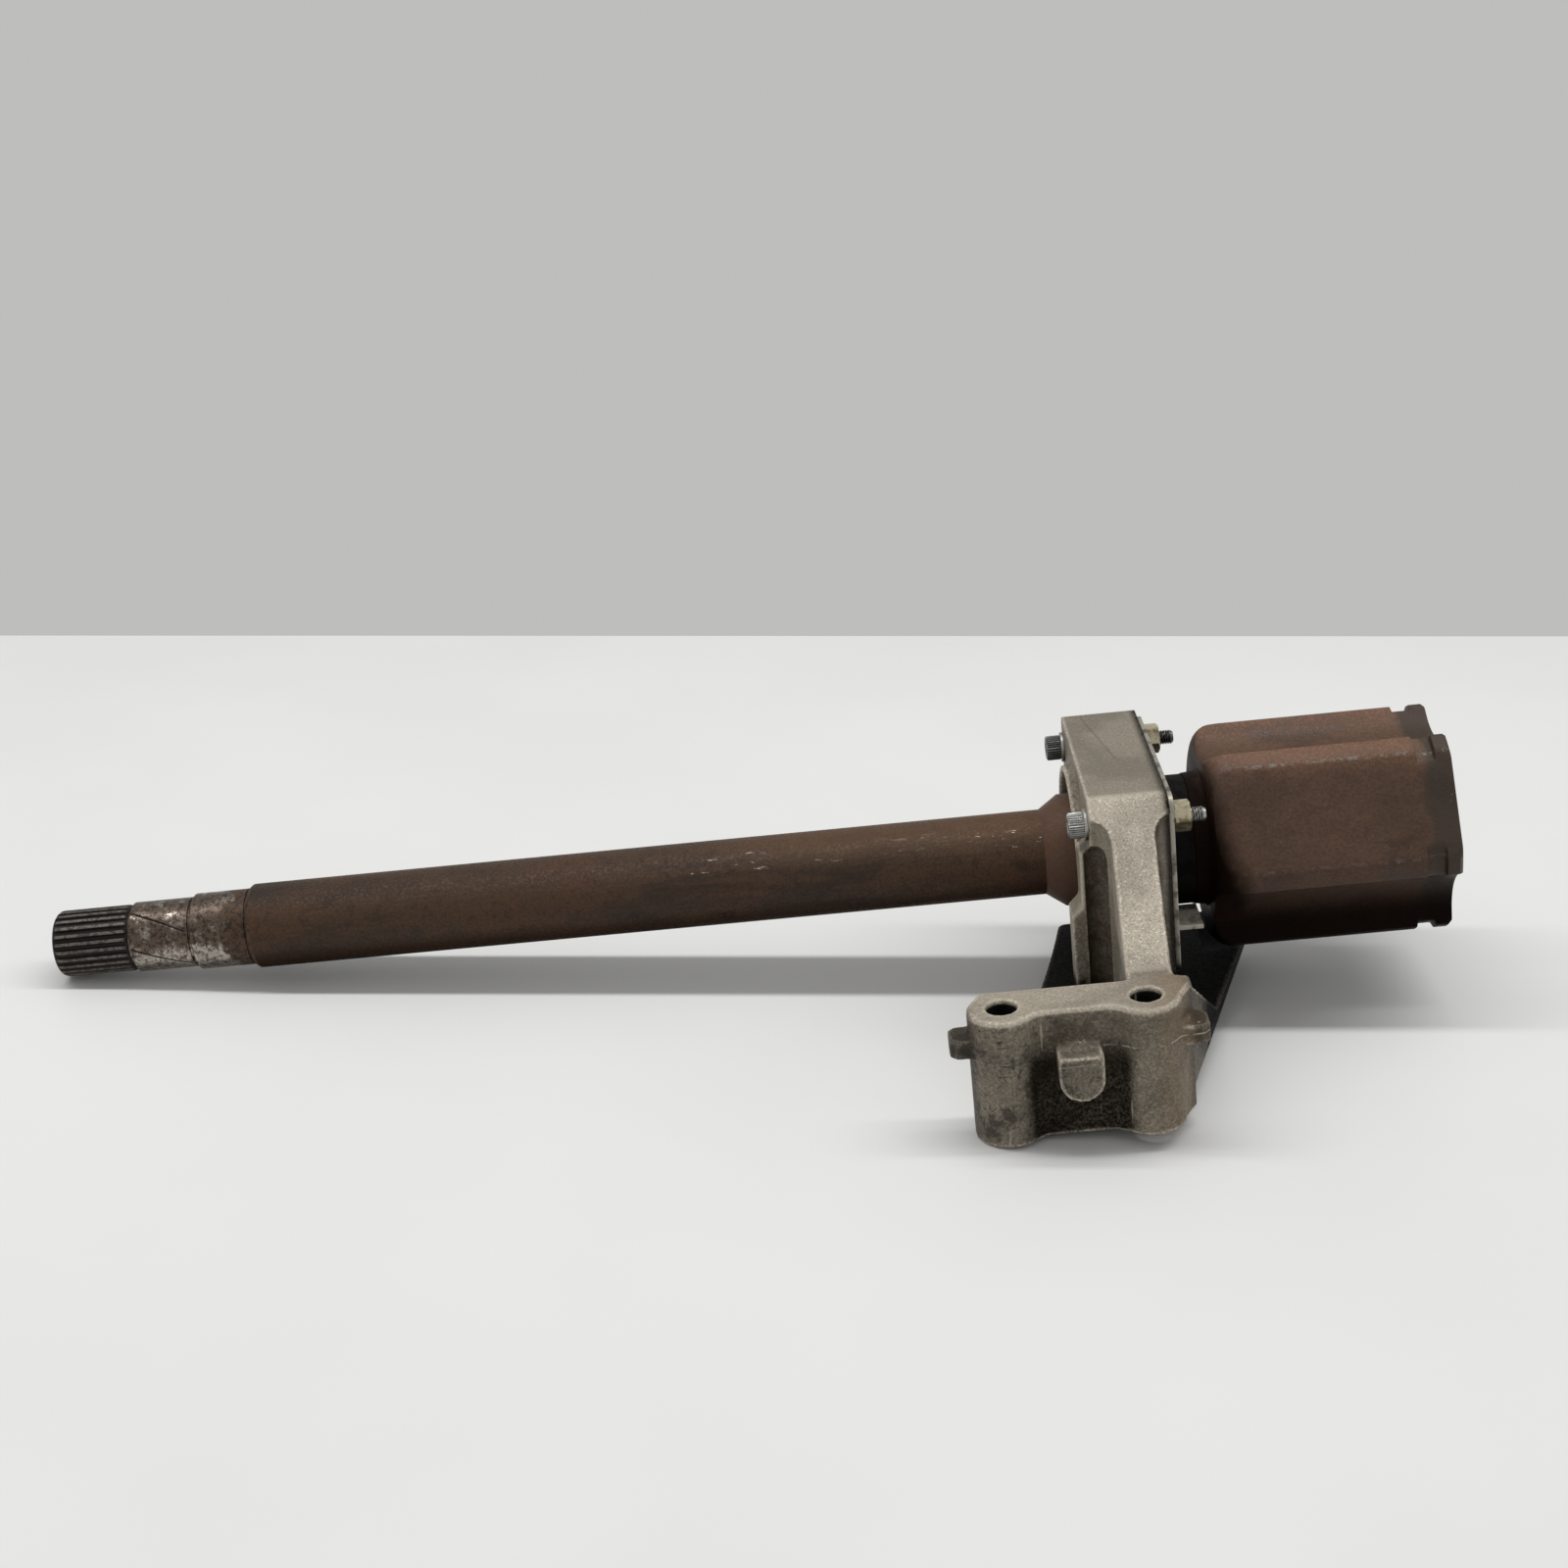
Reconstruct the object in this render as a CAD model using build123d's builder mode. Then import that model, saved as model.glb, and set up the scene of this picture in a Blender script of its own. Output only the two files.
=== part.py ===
"""Intermediate drive shaft of a front-wheel-drive car, with its support bearing.

Frame: the shaft axis is X, from the gearbox spline at X = 0 to the open end of the
tripod housing. +Z is up and square to the mounting foot, +Y points away from the foot.
All sizes are millimetres.
"""
import math
import os

from build123d import *

# Splined stub at the gearbox end
SPLINE_TEETH = 25
SPLINE_TIP_R = 13.25
SPLINE_ROOT_R = 12.2
SPLINE_LENGTH = 30.7
SPLINE_CHAMFER = 2.2
SEAL_JOURNAL_R = 13.9
SEAL_JOURNAL_LENGTH = 23.6
STEP_JOURNAL_R = 15.15
STEP_JOURNAL_LENGTH = 21.7
RELIEF_WIDTH = 1.1
RELIEF_DEPTH = 0.7
SHOULDER_LENGTH = 2.6

# Shaft bar
BAR_R = 16.75
BAR_LENGTH = 313.2
BAR_CHAMFER = 1.0

# Stem of the tripod housing, from the bar to the bell
FLARE_LENGTH = 7.6
STEM_R = 22.05
STEM_LENGTH = 21.9
SEAT_LEAD = 3.0
NECK_R = 23.6
NECK_LENGTH = 12.1
COLLAR_R = 25.8
COLLAR_TAPER = 0.5
COLLAR_LENGTH = 6.0

# Bell of the tripod housing
BELL_R = 43.8
BELL_LENGTH = 91.4
LOBE_COUNT = 3
FIRST_LOBE_ANGLE = 30.0
LOBE_FLAT_HALF_ANGLE = 27.8
LOBE_BACK_RADIUS = 8.0
SCOOP_ROOT_R = 33.4
SCOOP_R = 21.4
SCOOP_EDGE_RADIUS = 2.0
CLAMP_GROOVE_WIDTH = 6.4
CLAMP_GROOVE_R = 41.7
CLAMP_GROOVE_FROM_END = 6.4
MOUTH_CHAMFER = 1.3
BELL_FLOOR = 12.0
HUB_HOLLOW_R = 22.5
TRACK_PITCH_R = 20.5
TRACK_R = 16.3
TRACK_WALL = 5.2
TRACK_EDGE_RADIUS = 2.5

# Deep-groove ball bearing
BEARING_BORE_R = 22.5
BEARING_OUTER_R = 34.0
BEARING_WIDTH = 12.0
BALL_COUNT = 14
BALL_R = 3.4
RACE_CLEARANCE = 0.2
RACE_LAND = 2.5
CAGE_WIDTH = 8.6
CAGE_THICKNESS = 1.8
POCKET_CLEARANCE = 0.1
SEAL_WIDTH = 1.0
SEAL_RECESS = 0.35
SEAL_LIP_GAP = 0.5
SEAL_SEAT_DEPTH = 0.6

# Rings on the stem
SNAP_RING_WIDTH = 1.75
SNAP_GROOVE_DEPTH = 1.2
SNAP_RING_HEIGHT = 3.6
SNAP_RING_GAP = 40.0
SNAP_LUG_R = 2.6
SNAP_LUG_HOLE_R = 1.1
DUST_RING_WIDTH = 9.1
DUST_RING_THICKNESS = 1.9
DEFLECTOR_SLEEVE = 6.0
DEFLECTOR_SHEET = 1.2
DEFLECTOR_GAP = 1.2
DEFLECTOR_SETBACK = 1.5

# Bearing housing of the bracket
HOUSING_WIDTH = 30.0
HOUSING_HALF_DEPTH = 46.0
HOUSING_FRONT_CORNER = 6.0
HOUSING_REAR_CORNER = 2.0
HOUSING_WALL = 5.0
LIP_LENGTH = 4.0
LIP_WALL = 2.4
LIP_FLOOR = 2.5
LIP_BORE_R = 30.8
CHAMBER_R = 31.5

# Foot with its two bolt columns
FOOT_TOP = -1.5
FOOT_BOTTOM = -50.6
FOOT_Y = -125.0
BOLT_SPACING = 50.0
BOLT_R = 5.5
COLUMN_R = 12.3
LEFT_COLUMN_FROM_FACE = -41.3
FOOT_WEB_FRONT = 6.0
FOOT_RIGHT_REACH = 16.8
FOOT_LEFT_CORNER = 4.5
FOOT_ROOT_RADIUS = 9.0
FOOT_EDGE_CHAMFER = 0.8
FRONT_LUG_WIDTH = 15.8
FRONT_LUG_TOP = -14.0
FRONT_LUG_HEIGHT = 17.0
FRONT_LUG_REACH = 13.0
SIDE_LUG_WIDTH = 12.0
SIDE_LUG_HEIGHT = 7.4
SIDE_LUG_CORNER = 2.5
LEFT_LUG_TOP = -10.5
LEFT_LUG_REACH = 6.9
RIGHT_LUG_TOP = -12.5
RIGHT_LUG_REACH = 4.6

# Arm, its flutes and the cheek beside them
ARM_WIDTH = 16.2
ARM_LEAN = 3.6
ARM_FROM_FACE = 7.4
ARM_TOP_SET_BACK = 2.0
ARM_SAG = 1.5
ARM_FOOT_Y = -104.0
FLUTE_TOP = 33.0
POCKET_R = 4.5
POCKET_TOP = 16.0
CHEEK_TOP = 19.0
CHEEK_STEP = -4.0
CHEEK_FLARE = 4.0
CHEEK_DEPTH = 14.0

# Base flange and gusset of the bracket
FLANGE_TOP = -44.6
FLANGE_REAR_Y = 26.0
FLANGE_LEFT_SET = 8.0
FLANGE_LEFT_HOLLOW = 3.6
FLANGE_RIGHT_LEAN = 0.343
FLANGE_SET_IN = 5.0
FLANGE_CORNER = 4.0
BELL_RELIEF = 2.2
GUSSET_THICKNESS = 9.0
GUSSET_DRAFT = 2.5
GUSSET_LENGTH = 54.0

# Retaining plate and its fasteners
PLATE_THICKNESS = 2.0
PLATE_INSET = 0.3
PLATE_TOP = 37.0
PLATE_BOTTOM = -36.0
PLATE_BORE_R = 29.5
PLATE_CORNER = 5.0
TAB_WIDTH = 19.0
TAB_LENGTH = 10.0
TAB_Z = -20.5
TAB_OUTER_Y = -40.0
TAB_BEND_R = 3.0
SCREW_INSET = 5.5
SCREW_Z = 27.4
SCREW_R = 3.0
SCREW_HEAD_R = 5.0
SCREW_HEAD_HEIGHT = 6.0
SCREW_SOCKET_FLATS = 5.0
SCREW_SOCKET_DEPTH = 3.0
SCREW_HOLE_CLEARANCE = 0.3
SCREW_OVERRUN = 5.8
WASHER_R = 6.0
WASHER_THICKNESS = 1.3
NUT_FLATS = 10.8
NUT_HEIGHT = 6.4
FASTENER_CHAMFER = 0.5

# Stations along the shaft
x_seal_journal = SPLINE_LENGTH + RELIEF_WIDTH
x_step_journal = x_seal_journal + SEAL_JOURNAL_LENGTH + RELIEF_WIDTH
x_shoulder = x_step_journal + STEP_JOURNAL_LENGTH
x_bar = x_shoulder + SHOULDER_LENGTH
x_flare = x_bar + BAR_LENGTH
x_stem = x_flare + FLARE_LENGTH
x_seat = x_stem + STEM_LENGTH
x_bearing = x_seat + SEAT_LEAD
x_neck = x_bearing + BEARING_WIDTH
x_collar = x_neck + NECK_LENGTH
x_bell = x_collar + COLLAR_LENGTH
x_end = x_bell + BELL_LENGTH

# Stations of the bracket: the bearing sits flush with its right face
x_right_face = x_neck
x_left_face = x_right_face - HOUSING_WIDTH
x_left_bolt = x_left_face + LEFT_COLUMN_FROM_FACE
x_right_bolt = x_left_bolt + BOLT_SPACING
x_plate_face = x_right_face + PLATE_THICKNESS

ball_pitch_r = (BEARING_BORE_R + BEARING_OUTER_R) / 2
inner_land_r = ball_pitch_r - RACE_LAND
outer_land_r = ball_pitch_r + RACE_LAND
x_balls = x_bearing + BEARING_WIDTH / 2


def ring(x_start, width, inner_r, outer_r):
    """A plain ring about the shaft axis."""
    with BuildPart() as body:
        with BuildSketch(Plane.YZ.offset(x_start)):
            Circle(outer_r)
            Circle(inner_r, mode=Mode.SUBTRACT)
        extrude(amount=width)
    return body.part


def turned_ring(points):
    """A turned ring: points are (x, radius) around its section."""
    with BuildPart() as body:
        with BuildSketch(Plane.XZ):
            with BuildLine():
                Polyline(*points, close=True)
            make_face()
        revolve(axis=Axis.X)
    return body.part


def save(part, name):
    """Label one finished piece and write it."""
    part.label = name
    export_step(part, f"parts/{name}.step")


os.makedirs("parts", exist_ok=True)


# Splined stub: toothed end, two ground journals and a shoulder
tooth_pitch = 2 * math.pi / SPLINE_TEETH
tooth_root_half = SPLINE_ROOT_R * tooth_pitch * 0.34
tooth_tip_half = SPLINE_TIP_R * tooth_pitch * 0.17

with BuildPart() as splined_stub:
    with BuildSketch(Plane.YZ):
        Circle(SPLINE_ROOT_R)
        with PolarLocations(0, SPLINE_TEETH):
            Polygon(
                (SPLINE_ROOT_R * 0.9, -tooth_root_half),
                (SPLINE_ROOT_R, -tooth_root_half),
                (SPLINE_TIP_R, -tooth_tip_half),
                (SPLINE_TIP_R, tooth_tip_half),
                (SPLINE_ROOT_R, tooth_root_half),
                (SPLINE_ROOT_R * 0.9, tooth_root_half),
                align=None,
            )
    extrude(amount=SPLINE_LENGTH)
    with BuildSketch(Plane.XZ):
        with BuildLine():
            Polyline(
                (0, SPLINE_TIP_R - SPLINE_CHAMFER),
                (SPLINE_CHAMFER, SPLINE_TIP_R + 0.1),
                (0, SPLINE_TIP_R + 0.1),
                close=True,
            )
        make_face()
    revolve(axis=Axis.X, mode=Mode.SUBTRACT)
    with BuildSketch(Plane.XZ):
        with BuildLine():
            Polyline(
                (SPLINE_LENGTH, 0),
                (SPLINE_LENGTH, SPLINE_ROOT_R),
                (x_seal_journal, SPLINE_ROOT_R),
                (x_seal_journal, SEAL_JOURNAL_R),
                (x_step_journal - RELIEF_WIDTH, SEAL_JOURNAL_R),
                (x_step_journal - RELIEF_WIDTH, SEAL_JOURNAL_R - RELIEF_DEPTH),
                (x_step_journal, SEAL_JOURNAL_R - RELIEF_DEPTH),
                (x_step_journal, STEP_JOURNAL_R),
                (x_shoulder, STEP_JOURNAL_R),
                (x_shoulder, STEP_JOURNAL_R - RELIEF_DEPTH),
                (x_shoulder + RELIEF_WIDTH, STEP_JOURNAL_R - RELIEF_DEPTH),
                (x_shoulder + RELIEF_WIDTH, BAR_R - BAR_CHAMFER),
                (x_shoulder + RELIEF_WIDTH + BAR_CHAMFER, BAR_R),
                (x_bar, BAR_R),
                (x_bar, 0),
                close=True,
            )
        make_face()
    revolve(axis=Axis.X)
save(splined_stub.part, "splined_stub")


# Shaft bar between the stub and the stem
with BuildPart() as shaft_bar:
    with BuildSketch(Plane.YZ.offset(x_bar)):
        Circle(BAR_R)
    extrude(amount=BAR_LENGTH)
save(shaft_bar.part, "shaft_bar")


# Tripod housing: flared stem, bearing seat, neck and the three-lobed bell, one forging
flat_distance = BELL_R * math.cos(math.radians(LOBE_FLAT_HALF_ANGLE))
track_floor_r = flat_distance - TRACK_WALL
valley_angle = FIRST_LOBE_ANGLE + 180 / LOBE_COUNT
past_flat = (Align.MIN, Align.CENTER)


def from_nearest_valley(corner):
    """Degrees between a corner of the bell's section and the middle of the nearest valley."""
    pitch = 360 / LOBE_COUNT
    turn = (math.degrees(math.atan2(corner.Y, corner.X)) - valley_angle) % pitch
    return min(turn, pitch - turn)


with BuildSketch(Plane.YZ.offset(x_bell)) as bell_section:
    Circle(BELL_R)
    with PolarLocations(flat_distance, LOBE_COUNT, start_angle=FIRST_LOBE_ANGLE):
        Rectangle(BELL_R, 2 * BELL_R, align=past_flat, mode=Mode.SUBTRACT)
    with PolarLocations(SCOOP_ROOT_R + SCOOP_R, LOBE_COUNT, start_angle=valley_angle):
        Circle(SCOOP_R, mode=Mode.SUBTRACT)
    horn_corners = bell_section.vertices().filter_by(
        lambda corner: from_nearest_valley(corner) < 180 / LOBE_COUNT - LOBE_FLAT_HALF_ANGLE - 1
    )
    fillet(horn_corners, radius=SCOOP_EDGE_RADIUS)

with BuildSketch(Plane.YZ.offset(x_bell + BELL_FLOOR)) as track_section:
    with PolarLocations(TRACK_PITCH_R, LOBE_COUNT, start_angle=FIRST_LOBE_ANGLE):
        Circle(TRACK_R)
    Circle(HUB_HOLLOW_R)
    with PolarLocations(track_floor_r, LOBE_COUNT, start_angle=FIRST_LOBE_ANGLE):
        Rectangle(BELL_R, 2 * BELL_R, align=past_flat, mode=Mode.SUBTRACT)
    fillet(track_section.vertices(), radius=TRACK_EDGE_RADIUS)

with BuildPart() as tripod_housing:
    extrude(bell_section.sketch, amount=BELL_LENGTH)
    with BuildSketch(Plane.XZ):
        with BuildLine():
            Line((x_bell, 0), (x_bell, BELL_R - LOBE_BACK_RADIUS))
            RadiusArc(
                (x_bell, BELL_R - LOBE_BACK_RADIUS),
                (x_bell + LOBE_BACK_RADIUS, BELL_R),
                LOBE_BACK_RADIUS,
            )
            Polyline(
                (x_bell + LOBE_BACK_RADIUS, BELL_R),
                (x_end - MOUTH_CHAMFER, BELL_R),
                (x_end, BELL_R - MOUTH_CHAMFER),
                (x_end, 0),
                (x_bell, 0),
            )
        make_face()
    revolve(axis=Axis.X, mode=Mode.INTERSECT)
    with BuildSketch(Plane.XZ):
        with BuildLine():
            Polyline(
                (x_flare, 0),
                (x_flare, BAR_R),
                (x_stem, STEM_R),
                (x_seat, STEM_R),
                (x_seat, BEARING_BORE_R),
                (x_bearing - SNAP_RING_WIDTH, BEARING_BORE_R),
                (x_bearing - SNAP_RING_WIDTH, BEARING_BORE_R - SNAP_GROOVE_DEPTH),
                (x_bearing, BEARING_BORE_R - SNAP_GROOVE_DEPTH),
                (x_bearing, BEARING_BORE_R),
                (x_neck, BEARING_BORE_R),
                (x_neck, NECK_R),
                (x_collar, NECK_R),
                (x_collar, COLLAR_R),
                (x_bell, COLLAR_R + COLLAR_TAPER),
                (x_bell + BELL_FLOOR / 2, COLLAR_R + COLLAR_TAPER),
                (x_bell + BELL_FLOOR / 2, 0),
                close=True,
            )
        make_face()
    revolve(axis=Axis.X)
    extrude(track_section.sketch, amount=BELL_LENGTH - BELL_FLOOR, mode=Mode.SUBTRACT)
    groove_end = x_end - CLAMP_GROOVE_FROM_END
    with BuildSketch(Plane.YZ.offset(groove_end - CLAMP_GROOVE_WIDTH)):
        Circle(BELL_R + 1)
        Circle(CLAMP_GROOVE_R, mode=Mode.SUBTRACT)
    extrude(amount=CLAMP_GROOVE_WIDTH, mode=Mode.SUBTRACT)
save(tripod_housing.part, "tripod_housing")


# Snap ring that keeps the bearing on its seat
snap_inner_r = BEARING_BORE_R - SNAP_GROOVE_DEPTH
snap_outer_r = snap_inner_r + SNAP_RING_HEIGHT
lug_center_r = snap_outer_r
half_gap = math.radians(SNAP_RING_GAP / 2)

with BuildPart() as snap_ring:
    with BuildSketch(Plane.YZ.offset(x_bearing - SNAP_RING_WIDTH)):
        Circle(snap_outer_r)
        with BuildLine():
            Polyline(
                (0, 0),
                (-2 * snap_outer_r * math.sin(half_gap), -2 * snap_outer_r * math.cos(half_gap)),
                (2 * snap_outer_r * math.sin(half_gap), -2 * snap_outer_r * math.cos(half_gap)),
                close=True,
            )
        make_face(mode=Mode.SUBTRACT)
        with PolarLocations(
            lug_center_r, 2, start_angle=-90 - SNAP_RING_GAP / 2, angular_range=2 * SNAP_RING_GAP
        ):
            Circle(SNAP_LUG_R)
            Circle(SNAP_LUG_HOLE_R, mode=Mode.SUBTRACT)
        Circle(snap_inner_r, mode=Mode.SUBTRACT)
    extrude(amount=SNAP_RING_WIDTH)
save(snap_ring.part, "snap_ring")


# Dust ring on the neck and sheet deflector on the stem
dust_ring_r = NECK_R + DUST_RING_THICKNESS
save(ring(x_collar - DUST_RING_WIDTH, DUST_RING_WIDTH, NECK_R, dust_ring_r), "neck_dust_ring")

x_deflector = x_left_face + DEFLECTOR_SETBACK
deflector_r = LIP_BORE_R - DEFLECTOR_GAP
save(
    turned_ring([
        (x_deflector, STEM_R),
        (x_deflector, deflector_r),
        (x_deflector + DEFLECTOR_SHEET, deflector_r),
        (x_deflector + DEFLECTOR_SHEET, STEM_R + DEFLECTOR_SHEET),
        (x_deflector + DEFLECTOR_SLEEVE, STEM_R + DEFLECTOR_SHEET),
        (x_deflector + DEFLECTOR_SLEEVE, STEM_R),
    ]),
    "stem_deflector",
)


# Ball bearing: two grooved rings, balls, cage and two seals
race_r = BALL_R + RACE_CLEARANCE
seal_seat_r = outer_land_r + SEAL_SEAT_DEPTH
seal_zone = SEAL_RECESS + SEAL_WIDTH

with BuildPart() as bearing_inner_ring:
    add(ring(x_bearing, BEARING_WIDTH, BEARING_BORE_R, inner_land_r))
    with BuildSketch(Plane.XZ):
        with Locations((x_balls, ball_pitch_r)):
            Circle(race_r)
    revolve(axis=Axis.X, mode=Mode.SUBTRACT)
save(bearing_inner_ring.part, "bearing_inner_ring")

with BuildPart() as bearing_outer_ring:
    add(ring(x_bearing, BEARING_WIDTH, outer_land_r, BEARING_OUTER_R))
    with BuildSketch(Plane.XZ):
        with Locations((x_balls, ball_pitch_r)):
            Circle(race_r)
    revolve(axis=Axis.X, mode=Mode.SUBTRACT)
    add(ring(x_bearing, seal_zone, outer_land_r, seal_seat_r), mode=Mode.SUBTRACT)
    add(ring(x_neck - seal_zone, seal_zone, outer_land_r, seal_seat_r), mode=Mode.SUBTRACT)
save(bearing_outer_ring.part, "bearing_outer_ring")

with BuildPart() as bearing_balls:
    with Locations(Plane.YZ.offset(x_balls)):
        with PolarLocations(ball_pitch_r, BALL_COUNT):
            Sphere(BALL_R)
save(bearing_balls.part, "bearing_balls")

with BuildPart() as bearing_cage:
    add(ring(
        x_balls - CAGE_WIDTH / 2,
        CAGE_WIDTH,
        ball_pitch_r - CAGE_THICKNESS / 2,
        ball_pitch_r + CAGE_THICKNESS / 2,
    ))
    with Locations(Plane.YZ.offset(x_balls)):
        with PolarLocations(ball_pitch_r, BALL_COUNT):
            Cylinder(
                BALL_R + POCKET_CLEARANCE,
                3 * CAGE_THICKNESS,
                rotation=(0, 90, 0),
                mode=Mode.SUBTRACT,
            )
save(bearing_cage.part, "bearing_cage")

for side, x_seal in (("left", x_bearing + SEAL_RECESS), ("right", x_neck - seal_zone)):
    save(ring(x_seal, SEAL_WIDTH, inner_land_r + SEAL_LIP_GAP, seal_seat_r), f"bearing_seal_{side}")


# Bearing bracket: housing, front arm, two-bolt foot, base flange and buttresses
column_axes = [(x_left_bolt, FOOT_Y), (x_right_bolt, FOOT_Y)]
foot_back_y = FOOT_Y + COLUMN_R
foot_web_y = FOOT_Y - FOOT_WEB_FRONT
foot_left_x = x_left_bolt - COLUMN_R
foot_right_x = x_right_bolt + FOOT_RIGHT_REACH
housing_top = BEARING_OUTER_R + HOUSING_WALL
housing_front_y = -HOUSING_HALF_DEPTH
screw_y = HOUSING_HALF_DEPTH - SCREW_INSET
screw_places = [(screw_y, SCREW_Z), (-screw_y, SCREW_Z)]


def right_edge_x(y):
    """X of the right edge of the base flange, which leans towards the bell as it goes back."""
    return foot_right_x - FLANGE_SET_IN + FLANGE_RIGHT_LEAN * (y - FOOT_Y)


with BuildSketch(Plane.YZ.offset(x_left_face)) as housing_section:
    with BuildLine():
        Polyline(
            (housing_front_y, FOOT_BOTTOM),
            (housing_front_y, housing_top),
            (HOUSING_HALF_DEPTH, housing_top),
            (HOUSING_HALF_DEPTH, 0),
            (FLANGE_REAR_Y, FLANGE_TOP),
            (FLANGE_REAR_Y, FOOT_BOTTOM),
            close=True,
        )
    make_face()
    top_corners = housing_section.vertices().group_by(Axis.Y)[-1].sort_by(Axis.X)
    fillet(top_corners[0], radius=HOUSING_FRONT_CORNER)
    top_corners = housing_section.vertices().group_by(Axis.Y)[-1].sort_by(Axis.X)
    fillet(top_corners[-1], radius=HOUSING_REAR_CORNER)

with BuildSketch(Plane.XY.offset(FOOT_BOTTOM)) as foot_section:
    with BuildLine():
        Polyline(
            (foot_left_x, FOOT_Y),
            (foot_left_x + FOOT_LEFT_CORNER, foot_back_y),
            (foot_right_x, foot_back_y),
            (foot_right_x, foot_back_y - COLUMN_R / 2),
            (x_right_bolt + COLUMN_R * 0.8, foot_web_y),
            (x_left_bolt, foot_web_y),
            close=True,
        )
    make_face()
    with Locations(*column_axes):
        Circle(COLUMN_R)
    web_joins = foot_section.vertices().filter_by(
        lambda corner: abs(corner.Y - foot_web_y) < 0.01 and x_left_bolt < corner.X < x_right_bolt
    )
    fillet(web_joins, radius=FOOT_ROOT_RADIUS)

arm_left_front = x_left_face + ARM_FROM_FACE - ARM_LEAN
arm_left_back = x_left_face + ARM_FROM_FACE
arm_end_y = foot_back_y - 1


def flute(arm_back_x, arm_front_x, face_x):
    """The space on one side of the arm, rounded where it meets the arm, the housing and its own top."""
    past_face = face_x + 2 * (face_x - arm_back_x)
    with BuildPart() as space:
        with BuildSketch(Plane.XY.offset(FOOT_BOTTOM)):
            with BuildLine():
                Polyline(
                    (arm_back_x, housing_front_y),
                    (arm_front_x, arm_end_y),
                    (past_face, arm_end_y),
                    (past_face, housing_front_y),
                    close=True,
                )
            make_face()
        extrude(amount=FLUTE_TOP - FOOT_BOTTOM)
        inner_corner = (arm_back_x, housing_front_y, FLUTE_TOP)
        inner_edges = space.edges().sort_by_distance(inner_corner)[:3]
        fillet(inner_edges, radius=abs(face_x - arm_back_x))
    return space.part


with BuildPart() as arm:
    with BuildSketch(Plane.YZ.offset(x_left_face)) as arm_profile:
        with BuildLine():
            Polyline(
                (ARM_FOOT_Y, FOOT_TOP),
                (arm_end_y, FOOT_TOP),
                (arm_end_y, FOOT_BOTTOM),
                (housing_front_y + HOUSING_FRONT_CORNER, FOOT_BOTTOM),
                (housing_front_y + HOUSING_FRONT_CORNER, housing_top),
                (housing_front_y + ARM_TOP_SET_BACK, housing_top),
            )
            SagittaArc((housing_front_y + ARM_TOP_SET_BACK, housing_top), (ARM_FOOT_Y, FOOT_TOP), ARM_SAG)
        make_face()
        arm_top = arm_profile.vertices().group_by(Axis.Y)[-1].sort_by(Axis.X)[0]
        fillet(arm_top, radius=HOUSING_FRONT_CORNER)
    extrude(amount=HOUSING_WIDTH)
    add(flute(arm_left_back, arm_left_front, x_left_face), mode=Mode.SUBTRACT)
    add(flute(arm_left_back + ARM_WIDTH, arm_left_front + ARM_WIDTH, x_right_face), mode=Mode.SUBTRACT)

# Cheek: the front end of the housing's left wall, which flares to the left at the bottom
with BuildPart() as cheek:
    with BuildSketch(Plane.XZ.offset(-housing_front_y - CHEEK_DEPTH)):
        with BuildLine():
            Polyline(
                (x_left_face + LIP_FLOOR, FOOT_BOTTOM),
                (x_left_face - LIP_LENGTH - CHEEK_FLARE, FOOT_BOTTOM),
                (x_left_face - LIP_LENGTH - CHEEK_FLARE, CHEEK_STEP - CHEEK_FLARE),
                (x_left_face - LIP_LENGTH, CHEEK_STEP),
                (x_left_face - LIP_LENGTH, CHEEK_TOP - LIP_LENGTH / 2),
                (x_left_face, CHEEK_TOP),
                (x_left_face + LIP_FLOOR, CHEEK_TOP),
                close=True,
            )
        make_face()
    extrude(amount=CHEEK_DEPTH)

# Gusset from the right end of the foot down to the flange
gusset_rear_y = foot_back_y + GUSSET_LENGTH
gusset_height = FOOT_TOP - FOOT_BOTTOM
along_right_edge = Plane(
    origin=(right_edge_x(FOOT_Y), FOOT_Y, FOOT_BOTTOM),
    x_dir=(-1, FLANGE_RIGHT_LEAN, 0),
    z_dir=(FLANGE_RIGHT_LEAN, 1, 0),
)
with BuildPart() as gusset:
    with BuildSketch(along_right_edge):
        Polygon(
            (0, 0),
            (GUSSET_THICKNESS, 0),
            (GUSSET_THICKNESS, gusset_height),
            (GUSSET_DRAFT, gusset_height),
            align=None,
        )
    extrude(amount=2 * GUSSET_LENGTH)
    with BuildSketch(Plane.YZ.offset(foot_left_x)):
        with BuildLine():
            Polyline(
                (FOOT_Y, FOOT_BOTTOM),
                (FOOT_Y, FOOT_TOP),
                (foot_back_y, FOOT_TOP),
                (gusset_rear_y, FLANGE_TOP),
                (gusset_rear_y, FOOT_BOTTOM),
                close=True,
            )
        make_face()
    extrude(amount=5 * HOUSING_WIDTH, mode=Mode.INTERSECT)


def side_lug(outer_x, inner_x, top_z):
    """A small block that the casting carries on one end of the foot."""
    with BuildPart() as lug:
        with BuildSketch(Plane.XY.offset(top_z - SIDE_LUG_HEIGHT)) as lug_section:
            with Locations(((outer_x + inner_x) / 2, FOOT_Y)):
                Rectangle(abs(outer_x - inner_x), SIDE_LUG_WIDTH)
            outer_corners = lug_section.vertices().sort_by_distance((outer_x, FOOT_Y, 0))[:2]
            chamfer(outer_corners, length=SIDE_LUG_CORNER)
        extrude(amount=SIDE_LUG_HEIGHT)
    return lug.part


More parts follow.
